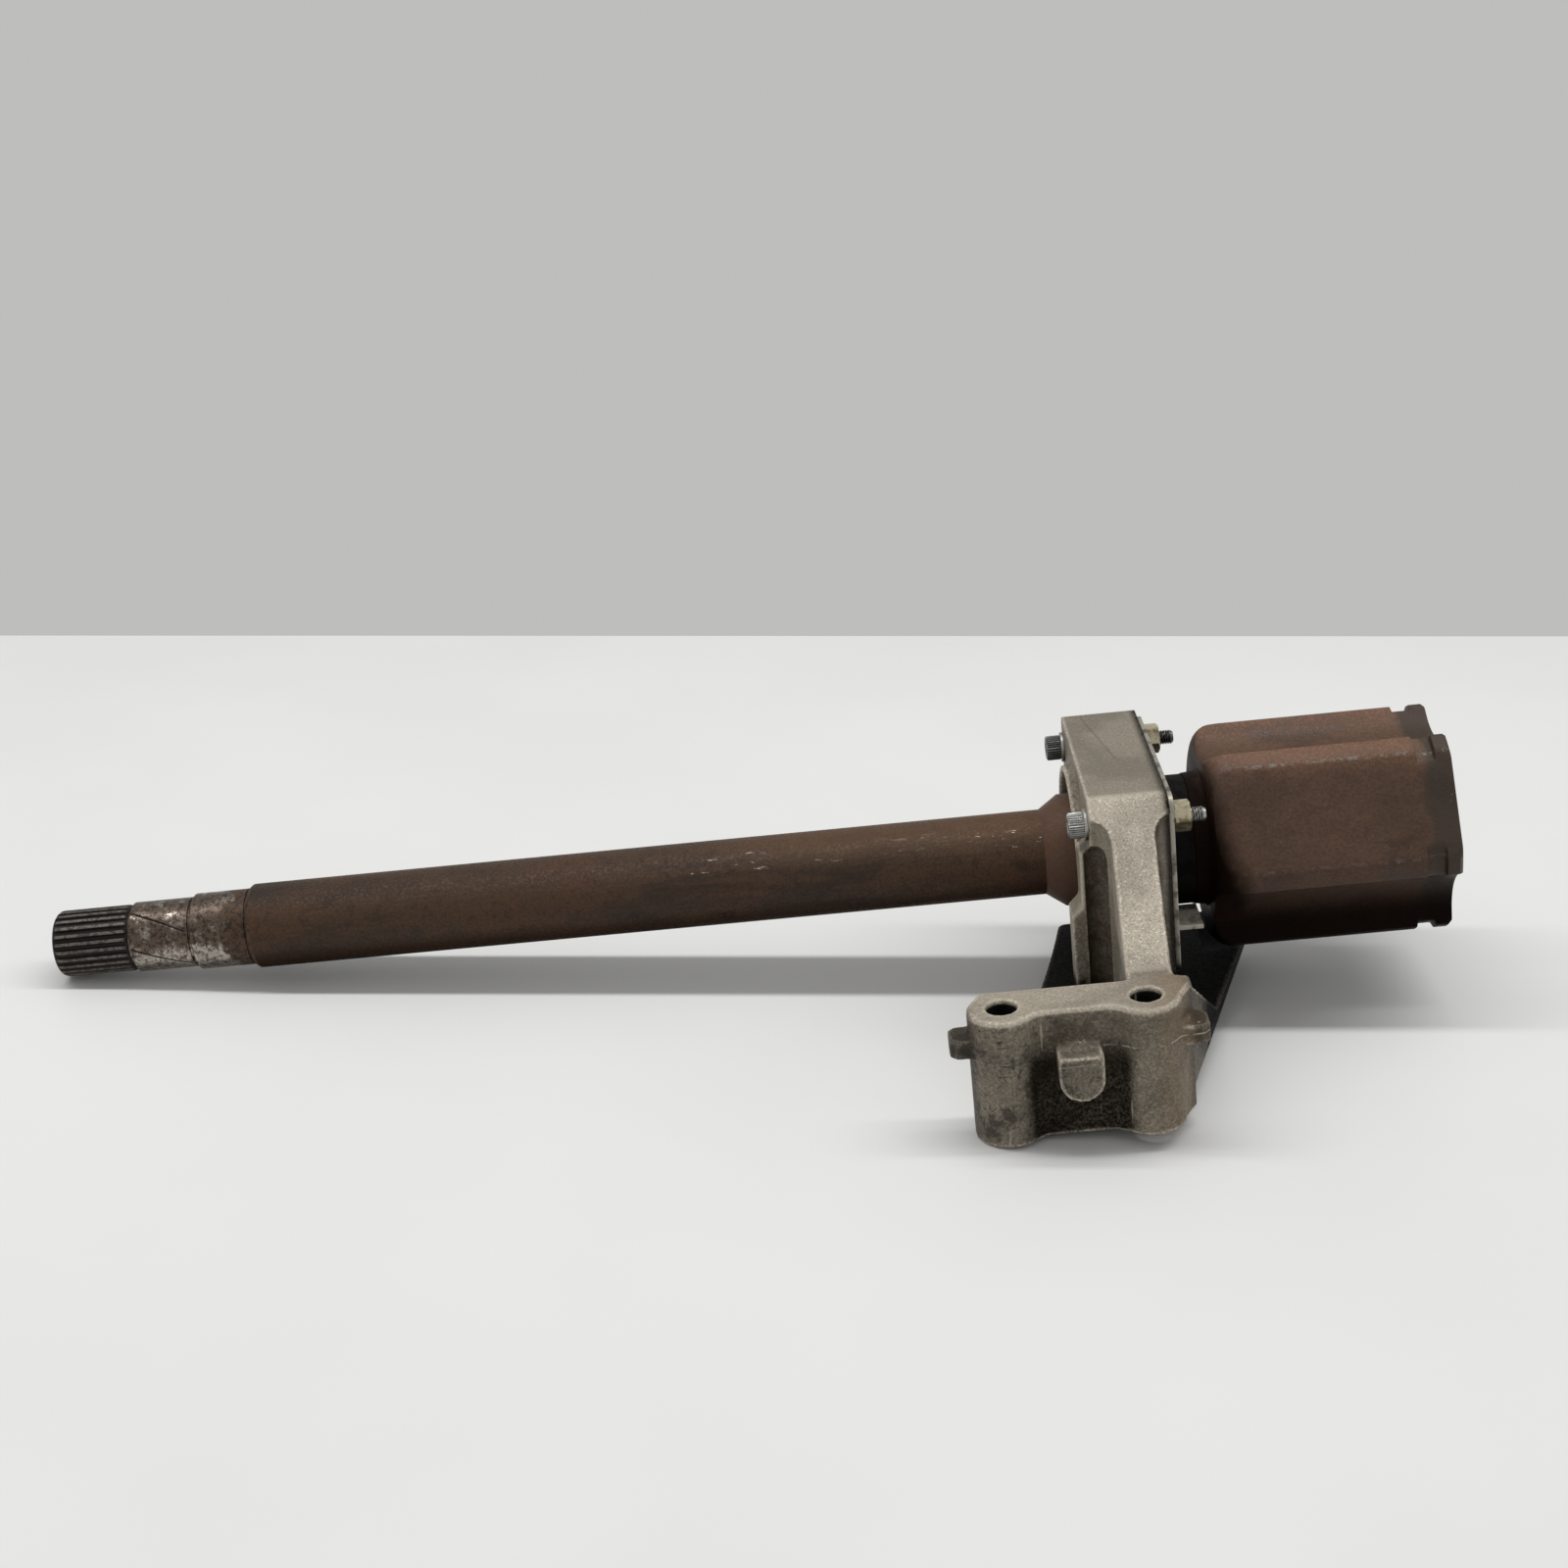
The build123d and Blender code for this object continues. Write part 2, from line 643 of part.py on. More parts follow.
with BuildPart() as bearing_bracket:
    extrude(housing_section.sketch, amount=HOUSING_WIDTH)
    extrude(foot_section.sketch, amount=FOOT_TOP - FOOT_BOTTOM)
    foot_face = bearing_bracket.faces().filter_by_position(Axis.Z, FOOT_TOP, FOOT_TOP)
    chamfer(foot_face.edges(), length=FOOT_EDGE_CHAMFER)
    with BuildSketch(Plane.XY.offset(FOOT_BOTTOM)) as flange_section:
        with BuildLine():
            Polyline(
                (x_left_face - FLANGE_LEFT_SET, FLANGE_REAR_Y),
                (right_edge_x(FLANGE_REAR_Y), FLANGE_REAR_Y),
                (right_edge_x(FOOT_Y), FOOT_Y),
                (foot_left_x + FOOT_LEFT_CORNER, FOOT_Y),
                (foot_left_x + FOOT_LEFT_CORNER, foot_back_y),
            )
            SagittaArc(
                (foot_left_x + FOOT_LEFT_CORNER, foot_back_y),
                (x_left_face - FLANGE_LEFT_SET, FLANGE_REAR_Y),
                -FLANGE_LEFT_HOLLOW,
            )
        make_face()
        rear_corners = flange_section.vertices().group_by(Axis.Y)[-1]
        fillet(rear_corners, radius=FLANGE_CORNER)
    extrude(amount=FLANGE_TOP - FOOT_BOTTOM)
    add(arm.part)
    add(cheek.part)
    add(gusset.part)
    # Pocket in the left flute, between the arm and the cheek
    with Locations((arm_left_back - 1.2 * POCKET_R, housing_front_y, POCKET_TOP)):
        Sphere(POCKET_R, mode=Mode.SUBTRACT)
        Cylinder(
            POCKET_R,
            POCKET_TOP - FLANGE_TOP,
            align=(Align.CENTER, Align.CENTER, Align.MAX),
            mode=Mode.SUBTRACT,
        )
    # Lugs on the front and the two ends of the foot
    with BuildSketch(Plane.XZ.offset(-foot_web_y - 2)):
        with Locations((x_left_bolt + BOLT_SPACING / 2, FRONT_LUG_TOP)):
            Rectangle(
                FRONT_LUG_WIDTH,
                FRONT_LUG_HEIGHT - FRONT_LUG_WIDTH / 2,
                align=(Align.CENTER, Align.MAX),
            )
        lug_round_z = FRONT_LUG_TOP - FRONT_LUG_HEIGHT + FRONT_LUG_WIDTH / 2
        with Locations((x_left_bolt + BOLT_SPACING / 2, lug_round_z)):
            Circle(FRONT_LUG_WIDTH / 2)
    extrude(amount=FRONT_LUG_REACH + 2)
    add(side_lug(foot_left_x - LEFT_LUG_REACH, x_left_bolt, LEFT_LUG_TOP))
    add(side_lug(foot_right_x + RIGHT_LUG_REACH, x_right_bolt, RIGHT_LUG_TOP))
    # Clearance swept by the turning bell
    with BuildSketch(Plane.YZ.offset(x_bell - BELL_RELIEF)):
        Circle(BELL_R + BELL_RELIEF)
    extrude(amount=BELL_LENGTH, mode=Mode.SUBTRACT)
    # Lip around the shaft opening, bearing bore, chamber and screw holes
    add(ring(x_left_face - LIP_LENGTH, LIP_LENGTH, LIP_BORE_R, LIP_BORE_R + LIP_WALL))
    with BuildSketch(Plane.YZ.offset(x_left_face - LIP_LENGTH - CHEEK_FLARE)):
        Circle(LIP_BORE_R)
    extrude(amount=CHEEK_FLARE + LIP_LENGTH + HOUSING_WIDTH, mode=Mode.SUBTRACT)
    with BuildSketch(Plane.YZ.offset(x_left_face + LIP_FLOOR)):
        Circle(CHAMBER_R)
    extrude(amount=HOUSING_WIDTH, mode=Mode.SUBTRACT)
    with BuildSketch(Plane.YZ.offset(x_bearing)):
        Circle(BEARING_OUTER_R)
    extrude(amount=BEARING_WIDTH, mode=Mode.SUBTRACT)
    with BuildSketch(Plane.YZ.offset(x_left_face)):
        with Locations(*screw_places):
            Circle(SCREW_R + SCREW_HOLE_CLEARANCE)
    extrude(amount=HOUSING_WIDTH, mode=Mode.SUBTRACT)
    with BuildSketch(Plane.XY.offset(FOOT_BOTTOM)):
        with Locations(*column_axes):
            Circle(BOLT_R)
    extrude(amount=FOOT_TOP - FOOT_BOTTOM, mode=Mode.SUBTRACT)
save(bearing_bracket.part, "bearing_bracket")


# Retaining plate with its bent tab and the window the tab leaves
tab_center_y = TAB_OUTER_Y + TAB_WIDTH / 2

with BuildPart() as retaining_plate:
    with BuildSketch(Plane.YZ.offset(x_right_face)):
        with Locations((0, (PLATE_TOP + PLATE_BOTTOM) / 2)):
            plate_width = 2 * (HOUSING_HALF_DEPTH - PLATE_INSET)
            RectangleRounded(plate_width, PLATE_TOP - PLATE_BOTTOM, PLATE_CORNER)
        Circle(PLATE_BORE_R, mode=Mode.SUBTRACT)
        with Locations(*screw_places):
            Circle(SCREW_R + SCREW_HOLE_CLEARANCE, mode=Mode.SUBTRACT)
        with Locations((tab_center_y, TAB_Z)):
            Rectangle(TAB_WIDTH, TAB_LENGTH, align=(Align.CENTER, Align.MAX), mode=Mode.SUBTRACT)
    extrude(amount=PLATE_THICKNESS)
    with BuildSketch(Plane.XZ.offset(-tab_center_y - TAB_WIDTH / 2)):
        with BuildLine():
            Polyline(
                (x_right_face, TAB_Z + TAB_BEND_R),
                (x_right_face, TAB_Z),
                (x_plate_face + TAB_LENGTH, TAB_Z),
                (x_plate_face + TAB_LENGTH, TAB_Z + PLATE_THICKNESS),
                (x_plate_face + TAB_BEND_R / 2, TAB_Z + PLATE_THICKNESS),
                (x_plate_face, TAB_Z + PLATE_THICKNESS + TAB_BEND_R / 2),
                close=True,
            )
        make_face()
    extrude(amount=TAB_WIDTH)
save(retaining_plate.part, "retaining_plate")


# Clamp screws, washers and nuts: one set behind the shaft and one in front
x_washer = x_left_face - WASHER_THICKNESS
x_head = x_washer - SCREW_HEAD_HEIGHT
x_screw_end = x_plate_face + NUT_HEIGHT + SCREW_OVERRUN

for side, place in zip(("rear", "front"), screw_places):
    with BuildPart() as clamp_screw:
        with BuildSketch(Plane.YZ.offset(x_head)):
            with Locations(place):
                Circle(SCREW_HEAD_R)
        extrude(amount=SCREW_HEAD_HEIGHT)
        chamfer(clamp_screw.edges().group_by(Axis.X)[0], length=FASTENER_CHAMFER)
        with BuildSketch(Plane.YZ.offset(x_head)):
            with Locations(place):
                RegularPolygon(SCREW_SOCKET_FLATS / 2, 6, major_radius=False)
        extrude(amount=SCREW_SOCKET_DEPTH, mode=Mode.SUBTRACT)
        with BuildSketch(Plane.YZ.offset(x_washer)):
            with Locations(place):
                Circle(SCREW_R)
        extrude(amount=x_screw_end - x_washer)
        chamfer(clamp_screw.edges().group_by(Axis.X)[-1], length=FASTENER_CHAMFER)
    save(clamp_screw.part, f"clamp_screw_{side}")

    with BuildPart() as clamp_washer:
        with BuildSketch(Plane.YZ.offset(x_washer)):
            with Locations(place):
                Circle(WASHER_R)
                Circle(SCREW_R, mode=Mode.SUBTRACT)
        extrude(amount=WASHER_THICKNESS)
    save(clamp_washer.part, f"clamp_washer_{side}")

    with BuildPart() as clamp_nut:
        with BuildSketch(Plane.YZ.offset(x_plate_face)):
            with Locations(place):
                RegularPolygon(NUT_FLATS / 2, 6, major_radius=False)
                Circle(SCREW_R, mode=Mode.SUBTRACT)
        extrude(amount=NUT_HEIGHT)
    save(clamp_nut.part, f"clamp_nut_{side}")
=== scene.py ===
"""Intermediate drive shaft: the finish of every surface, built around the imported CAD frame."""
import math

import bmesh
import bpy
from mathutils import Matrix, Vector


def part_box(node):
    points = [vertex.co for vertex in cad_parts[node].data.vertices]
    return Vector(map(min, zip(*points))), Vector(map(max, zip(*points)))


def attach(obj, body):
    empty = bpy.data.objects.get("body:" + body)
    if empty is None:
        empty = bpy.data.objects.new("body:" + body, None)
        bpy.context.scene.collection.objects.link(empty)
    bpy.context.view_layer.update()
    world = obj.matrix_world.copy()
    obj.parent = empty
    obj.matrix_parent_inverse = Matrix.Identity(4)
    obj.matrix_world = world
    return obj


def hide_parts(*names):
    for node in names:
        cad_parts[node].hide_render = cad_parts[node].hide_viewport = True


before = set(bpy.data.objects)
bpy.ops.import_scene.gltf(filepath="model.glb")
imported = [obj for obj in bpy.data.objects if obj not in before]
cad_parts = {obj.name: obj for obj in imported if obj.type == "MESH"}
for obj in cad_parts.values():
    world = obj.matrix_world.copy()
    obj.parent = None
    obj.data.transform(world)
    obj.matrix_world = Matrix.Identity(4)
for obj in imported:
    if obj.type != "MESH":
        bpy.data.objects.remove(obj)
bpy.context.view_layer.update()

bl_info = {
    "name": "Intermediate Drive Shaft",
    "version": (1, 0, 0),
    "blender": (4, 5, 0),
    "location": "View3D > Sidebar > Drive Shaft",
    "description": "Builds a drive shaft with its support bearing bracket and tripod housing",
    "category": "Object",
}

MM = 0.001
FULL_TURN = 2 * math.pi


def from_display(red, green, blue):
    """A colour as it is seen on a display, 0 to 255, as Blender's linear values."""
    def linear(value):
        value /= 255
        return value / 12.92 if value <= 0.04045 else ((value + 0.055) / 1.055) ** 2.4
    return (linear(red), linear(green), linear(blue))


def size(name, about, default):
    """A length property, given in millimetres."""
    return bpy.props.FloatProperty(
        name=name, description=about, default=default * MM, min=0.0, precision=5, unit="LENGTH"
    )


def colour(name, about, *shown):
    """A colour property, given as a display shows it, 0 to 255."""
    return bpy.props.FloatVectorProperty(
        name=name, description=about, default=from_display(*shown), size=3, min=0.0, max=1.0,
        subtype="COLOR",
    )


def count(name, about, default):
    """A whole-number property."""
    return bpy.props.IntProperty(name=name, description=about, default=default, min=1)


def degrees(name, about, default):
    """An angle property, given in degrees."""
    return bpy.props.FloatProperty(
        name=name, description=about, default=math.radians(default), subtype="ANGLE"
    )


# Stations along the shaft axis, radii and heights, all read from the frame
stub_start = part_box("splined_stub")[0].x
bar_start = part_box("shaft_bar")[0].x
bar_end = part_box("shaft_bar")[1].x
mouth_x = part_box("tripod_housing")[1].x
bar_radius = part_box("shaft_bar")[1].z
bearing_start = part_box("bearing_inner_ring")[0].x
bearing_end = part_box("bearing_inner_ring")[1].x
collar_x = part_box("neck_dust_ring")[1].x
housing_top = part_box("bearing_bracket")[1].z
foot_middle_x = bearing_end - 46.3 * MM
lug_face_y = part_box("bearing_bracket")[0].y

# Where the bracket's arm, its foot and the two bolts lie, for the casting's dirt, wear, painted light and
# painted shade
arm_end_y = -46 * MM
arm_start_y = -106 * MM
foot_root_y = -108 * MM
bolt_y = -125 * MM
bolt_offset = 25 * MM


class ShaftSettings(bpy.types.PropertyGroup):
    """Sizes and colours of the shaft."""

    teeth: count("Spline teeth", "Teeth around the gearbox end", 25)
    tooth_tip: size("Tooth tip radius", "Radius over the spline teeth", 13.25)
    tooth_root: size("Tooth root radius", "Radius between the spline teeth", 12.15)
    tooth_length: size("Spline length", "Length of the toothed end", 30.7)
    seal_journal: size("Seal journal radius", "Radius of the oil-seal journal", 13.9)
    step_journal: size("Step journal radius", "Radius of the larger journal", 15.15)
    relief: size("Relief width", "Width of the relief grooves beside the journals", 1.1)
    seal_length: size("Seal journal length", "Length of the oil-seal journal", 23.6)
    step_length: size("Step journal length", "Length of the larger journal", 21.7)
    bar_rust: colour("Bar rust", "Main colour of the rusted bar", 76, 54, 36)
    # Darkened, the bar's dark also gives the painted shade under the bar.
    bar_dark: colour("Bar dark", "Dark patches on the bar", 46, 33, 24)
    bar_orange: colour("Bar orange", "Fresh rust patches on the bar", 96, 60, 33)
    gouge: colour("Gouge", "Floor of the gouge in the bar", 38.68, 17.89, 12.93)
    bell_rust: colour("Bell rust", "Main colour of the tripod housing", 88, 62, 45)
    # Darkened, the bell's dark also gives the oil and painted shade at its neck and underneath.
    bell_dark: colour("Bell dark", "Oily patches on the tripod housing", 34, 24, 18)
    bell_mouth: colour("Bell mouth", "Turned band at the bell's mouth", 62, 52, 43)
    # Darkened, the bright steel also gives the bell's edge wear and painted highlights.
    bright: colour("Bright steel", "Ground steel of the journals", 178, 170, 160)
    stain: colour("Stain", "Rust stains on the journals", 72, 53, 39)


class HousingSettings(bpy.types.PropertyGroup):
    """Sizes of the tripod housing."""

    radius: size("Lobe radius", "Radius over the lobes", 43.8)
    flat_angle: degrees("Flat half angle", "Half the angle that a lobe's flat face covers", 27.8)
    first_lobe: degrees("First lobe", "Angle of the first lobe from +Y", 30.0)
    scoop_root: size("Valley radius", "Radius at the bottom of a valley", 33.4)
    scoop: size("Scoop radius", "Radius of the valley's own curve", 21.4)
    back_round: size("Back rounding", "Radius where the lobes turn into the back", 8.0)
    groove_radius: size("Groove radius", "Radius at the bottom of the boot clamp groove", 41.7)
    groove_width: size("Groove width", "Width of the boot clamp groove", 6.4)
    groove_setback: size("Groove setback", "Distance of the groove from the mouth", 6.4)
    stem_radius: size("Stem radius", "Radius of the stem left of the bearing", 22.05)
    flare_length: size("Flare length", "Length of the cone between bar and stem", 7.6)
    bearing_seat: size("Bearing seat radius", "Radius of the bearing seat", 22.5)
    neck_radius: size("Neck radius", "Radius of the neck right of the bearing", 23.6)
    collar_radius: size("Collar radius", "Radius of the collar behind the bell", 25.8)
    collar_length: size("Collar length", "Length of the collar", 6.0)
    floor: size("Floor thickness", "Thickness of the bell's closed end", 12.0)
    hub_hollow: size("Hub hollow radius", "Radius of the hollow for the spider's hub", 22.5)
    track_pitch: size("Track pitch radius", "Distance of the roller tracks from the axis", 20.5)
    track: size("Track radius", "Radius of a roller track", 16.3)
    wall: size("Wall", "Wall between a roller track and the lobe's flat", 5.2)


class FastenerSettings(bpy.types.PropertyGroup):
    """Sizes and colours of the clamp screws, washers and nuts."""

    shank: size("Shank radius", "Outer radius of the screw thread", 3.0)
    pitch: size("Thread pitch", "Distance between two turns of the thread", 1.0)
    thread_depth: size("Thread depth", "Depth of the thread", 0.55)
    head: size("Head radius", "Radius of the knurled head", 5.0)
    knurls: count("Knurls", "Ridges around a screw head", 32)
    socket: size("Socket flats", "Width across the flats of the socket", 5.0)
    nut_flats: size("Nut flats", "Width across the flats of a nut", 10.8)
    steel: colour("Screw steel", "Dulled steel of the screws", 185, 185, 183)
    zinc: colour("Yellow zinc", "Yellow zinc of the nuts", 200, 191, 161)
    washer: colour("Washer steel", "Plated steel of the washers", 190, 189, 184)


class BracketSettings(bpy.types.PropertyGroup):
    """Colours of the bracket, its plate and the bearing."""

    casting: colour("Casting", "Cast aluminium", 162, 152, 135)
    # Also the painted light on the arm's face and the painted highlight on the foot's rim.
    worn: colour("Worn casting", "Rubbed edges and cleaner faces of the casting", 218, 207, 189)
    # Darkened, it also gives the painted shade in the casting's hollows and on the small metal pieces.
    grime_and_shade: colour("Grime", "Dirt in the hollows of the casting", 46, 39, 30)
    earth: colour("Earth", "Brown dirt around the lugs", 108, 84, 54)
    # It also gives the painted shade behind the foot and under the bell.
    grease: colour("Grease", "Old grease under the bell", 10, 9, 8)
    plate: colour("Plate", "Plated sheet of the retaining plate", 176, 170, 158)
    skin: size("Casting skin", "Facet size of the skin that rounds the casting's edges", 0.9)
    plate_round: size("Plate edge", "Rounding of the plate's edges", 0.3)
    bearing: colour("Bearing steel", "Rings and balls of the bearing", 175, 175, 176)
    cage: colour("Cage", "Cage of the bearing", 168, 146, 96)
    rubber: colour("Rubber", "Seals of the bearing", 34, 34, 35)
    dust_ring: colour("Dust ring", "Ring on the neck", 14, 11, 10)


class StudioSettings(bpy.types.PropertyGroup):
    """Table, lamps and camera."""

    rise: degrees("Axis rise", "How far the shaft axis rises from the table", 5.94)
    pitch: degrees("Camera pitch", "How far the camera looks down", 21.9)
    yaw: degrees("Camera yaw", "How far the camera looks aside", 0.10)
    camera_place: bpy.props.FloatVectorProperty(
        name="Camera place", description="Where the camera stands", size=3, subtype="XYZ",
        default=(0.3326, -0.8530, 0.3800), unit="LENGTH",
    )
    lens: bpy.props.FloatProperty(
        name="Lens", description="Focal length on a 36 mm sensor", default=54.09, unit="CAMERA"
    )
    table_back: size("Table depth", "Where the table ends behind the part", 434.0)
    lamp_length: size("Lamp length", "Length of the overhead lamp along the shaft", 3000.0)
    lamp_width: size("Lamp width", "Width of the overhead lamp", 120.0)
    lamp_height: size("Lamp height", "Height of the lamp over the shaft axis", 1300.0)
    lamp_power: bpy.props.FloatProperty(
        name="Lamp power", description="Power of the overhead lamp", default=17.5, min=0.0, unit="POWER"
    )
    fill: bpy.props.FloatProperty(
        name="Fill light", description="Strength of the even light from all around", default=0.5,
        min=0.0, max=1.0, subtype="FACTOR",
    )
    table: colour("Table", "Colour of the table", 230, 230, 228)
    wall: colour("Wall", "Colour seen behind the table", 190, 190, 188)


# Mesh helpers

def finish_piece(mesh, name, body, material, node, smooth_angle=35):
    """Turns a bmesh into an object that rides on a body and stands for a CAD node."""
    bmesh.ops.remove_doubles(mesh, verts=mesh.verts, dist=1e-6)
    bmesh.ops.recalc_face_normals(mesh, faces=mesh.faces)
    for edge in mesh.edges:
        if len(edge.link_faces) == 2:
            edge.smooth = edge.calc_face_angle(0) < math.radians(smooth_angle)
    for face in mesh.faces:
        face.smooth = True
    data = bpy.data.meshes.new(name)
    mesh.to_mesh(data)
    mesh.free()
    piece = bpy.data.objects.new(name, data)
    bpy.context.scene.collection.objects.link(piece)
    data.materials.append(material)
    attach(piece, body)
    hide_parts(node)
    return piece


def merged_copy(node):
    """A bmesh copy of a CAD node with its vertices merged and its flat faces joined."""
    mesh = bmesh.new()
    mesh.from_mesh(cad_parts[node].data)
    bmesh.ops.remove_doubles(mesh, verts=mesh.verts, dist=2e-6)
    bmesh.ops.dissolve_limit(
        mesh, angle_limit=math.radians(0.5), verts=mesh.verts, edges=mesh.edges
    )
    return mesh


def round_edges(mesh, width):
    """Rounds the sharp edges of a bmesh."""
    least_angle = math.radians(35)
    sharp = [edge for edge in mesh.edges
             if len(edge.link_faces) == 2 and edge.calc_face_angle(0) > least_angle]
    bmesh.ops.bevel(
        mesh, geom=sharp, offset=width, offset_type="OFFSET", segments=3, profile=0.5,
        affect="EDGES", material=-1,
    )


def cast_skin(piece, facet):
    """Gives a casting its rounded edges and hollows: an even skin, then smoothed."""
    skin = piece.modifiers.new("skin", "REMESH")
    skin.mode = "VOXEL"
    skin.voxel_size = facet
    skin.use_smooth_shade = True
    soft = piece.modifiers.new("soften", "SMOOTH")
    soft.factor = 0.5
    soft.iterations = 2


def swept_rings(rings, segments, centre=(0.0, 0.0), closed=False):
    """A bmesh swept along X from one circle. Each ring is (x, radius); a radius may be a
    function of the angle. Open sweeps are capped at both ends, closed ones join up."""
    mesh = bmesh.new()
    bmesh.ops.create_circle(mesh, segments=segments, radius=1.0)
    bmesh.ops.rotate(
        mesh, verts=mesh.verts, matrix=Matrix(((0, 0, 1), (1, 0, 0), (0, 1, 0)))
    )

    def place(verts, x, radius):
        for vert in verts:
            angle = math.atan2(vert.co.z, vert.co.y)
            reach = radius(angle) if callable(radius) else radius
            vert.co = Vector((x, reach * math.cos(angle), reach * math.sin(angle)))

    first_edges = loop = list(mesh.edges)
    place(mesh.verts, *rings[0])
    for x, radius in rings[1:]:
        made = bmesh.ops.extrude_edge_only(mesh, edges=loop)["geom"]
        loop = [part for part in made if isinstance(part, bmesh.types.BMEdge)
                and part.is_boundary and part not in first_edges]
        place({vert for edge in loop for vert in edge.verts}, x, radius)
    if closed:
        bmesh.ops.bridge_loops(mesh, edges=first_edges + loop)
    else:
        for ends in (first_edges, loop):
            bmesh.ops.edgeloop_fill(mesh, edges=ends)
    bmesh.ops.translate(mesh, verts=mesh.verts, vec=(0, centre[0], centre[1]))
    return mesh


def spaced(start, end, steps):
    """Evenly spaced values from start to end, both included."""
    return [start + (end - start) * i / steps for i in range(steps + 1)]


def rounded_ends(start, end, radius, edge, steps=3):
    """Rings of a cylinder from start to end whose two edges are rounded."""
    turns = spaced(FULL_TURN / 4, 0, steps)
    rings = [(start + edge * (1 - math.sin(t)), radius - edge * (1 - math.cos(t))) for t in turns]
    return rings + [(start + end - x, r) for x, r in reversed(rings)]


def soft_least(first, second, blend):
    """The smaller of two values, with a rounded change from one to the other."""
    reach = max(blend - abs(first - second), 0.0) / blend
    return min(first, second) - reach * reach * blend / 4


def hexagon(across_flats):
    """Radius of a hexagon at an angle."""
    sixth = FULL_TURN / 6

    def radius(angle):
        offset = angle % sixth - sixth / 2
        return across_flats / 2 / math.cos(offset)
    return radius


# Materials

def tinted(colour_value, factor):
    """A colour made lighter or darker."""
    return tuple(min(1.0, c * factor) for c in colour_value[:3])


class Nodes:
    """A node tree under construction. A value may be a socket or a number."""

    def __init__(self, tree):
        self.tree = tree

    def feed(self, socket, value):
        """Links a socket to another, or sets its own value."""
        if isinstance(value, bpy.types.NodeSocket):
            self.tree.links.new(value, socket)
        else:
            socket.default_value = value

    def node(self, kind, inputs=None, **settings):
        """A new node; its inputs are keyed by their name or number."""
        node = self.tree.nodes.new("ShaderNode" + kind)
        for name, value in settings.items():
            setattr(node, name, value)
        for key, value in (inputs or {}).items():
            self.feed(node.inputs[key], value)
        return node

    def calc(self, operation, *values):
        """One math operation, repeated over all the values."""
        result = values[0]
        for value in values[1:]:
            result = self.node("Math", {0: result, 1: value}, operation=operation).outputs["Value"]
        return result

    def times(self, *values):
        """The product of several values."""
        return self.calc("MULTIPLY", *values)

    def plus(self, *values):
        """The sum of several values."""
        return self.calc("ADD", *values)

    def most(self, *values):
        """The largest of several values."""
        return self.calc("MAXIMUM", *values)

    def absolute(self, value):
        """A value without its sign."""
        return self.calc("ABSOLUTE", value, 0)

    def band(self, value, low, high, low_out=0.0, high_out=1.0):
        """A value mapped smoothly from low..high to low_out..high_out, and held beyond them."""
        inputs = {"Value": value, "From Min": low, "From Max": high, "To Min": low_out, "To Max": high_out}
        return self.node("MapRange", inputs, interpolation_type="SMOOTHSTEP").outputs["Result"]

    def within(self, value, low, high, soft):
        """1 where a value lies between low and high, falling to 0 over a soft width."""
        return self.times(self.band(value, low - soft, low), self.band(value, high + soft, high))

    def distance(self, first, second):
        """How far a point lies from an axis, from its two offsets."""
        squares = self.plus(self.times(first, first), self.times(second, second))
        return self.calc("SQRT", squares, 0)

    def split(self, vector):
        """The x, y and z sockets of a vector."""
        return self.node("SeparateXYZ", {0: vector}).outputs

    def blend(self, mask, first, second):
        """A mix of two colours; each is a socket or three numbers."""
        mix = self.node("Mix", {"Factor": mask}, data_type="RGBA")
        for key, value in ((6, first), (7, second)):
            is_socket = isinstance(value, bpy.types.NodeSocket)
            self.feed(mix.inputs[key], value if is_socket else (*value[:3], 1.0))
        return mix.outputs[2]


class Finish(Nodes):
    """One material, built up coat by coat on the part's own coordinates."""

    def __init__(self, name, sheen):
        self.material = bpy.data.materials.new(name)
        self.material.use_nodes = True
        super().__init__(self.material.node_tree)
        self.shader = self.tree.nodes["Principled BSDF"]
        self.feed(self.shader.inputs["Specular IOR Level"], sheen)
        self.where = self.node("TexCoord").outputs["Object"]
        self.base = None

    def noise(self, scale, detail, rough, stretch=(1, 1, 1)):
        """Noise on the part's coordinates; stretch scales each axis."""
        place = self.node("Mapping", {"Scale": stretch, "Vector": self.where}).outputs["Vector"]
        inputs = {"Vector": place, "Scale": scale, "Detail": detail, "Roughness": rough}
        return self.node("TexNoise", inputs).outputs["Fac"]

    def spots(self, low, high, *noise):
        """Noise of a scale, a detail and a roughness, mapped from low..high to 0..1."""
        return self.band(self.noise(*noise), low, high)

    def openness(self, reach):
        """How open each point is, from 0 in a deep hollow to 1."""
        inputs = {"Distance": reach}
        return self.node("AmbientOcclusion", inputs, only_local=True, samples=8).outputs["AO"]

    def surface(self, output):
        """One output of the surface's own geometry, such as its normal."""
        return self.node("NewGeometry").outputs[output]

    def coat(self, colour_value, *masks):
        """Lays a colour over the base where all the masks are 1."""
        self.base = self.blend(self.times(*masks), self.base, colour_value)

    def dull(self, mask, sheen):
        """Takes the sheen away where a mask is 1."""
        self.feed(self.shader.inputs["Specular IOR Level"], self.band(mask, 0, 1, sheen, 0.02))

    def done(self, rough, metallic, height=None, depth=0.0):
        """Joins the last values to the shader; height is a relief as deep as depth."""
        self.feed(self.shader.inputs["Base Color"], self.base)
        self.feed(self.shader.inputs["Roughness"], rough)
        self.feed(self.shader.inputs["Metallic"], metallic)
        if height is not None:
            bump = self.node("Bump", {"Strength": 1.0, "Distance": depth, "Height": height})
            self.feed(self.shader.inputs["Normal"], bump.outputs["Normal"])
        return self.material


def finish_named(name, maker, *values):
    """The material of that name, made once. Its prefix keeps it apart from the frame's own."""
    name = "finish_" + name
    return bpy.data.materials.get(name) or maker(name, *values)


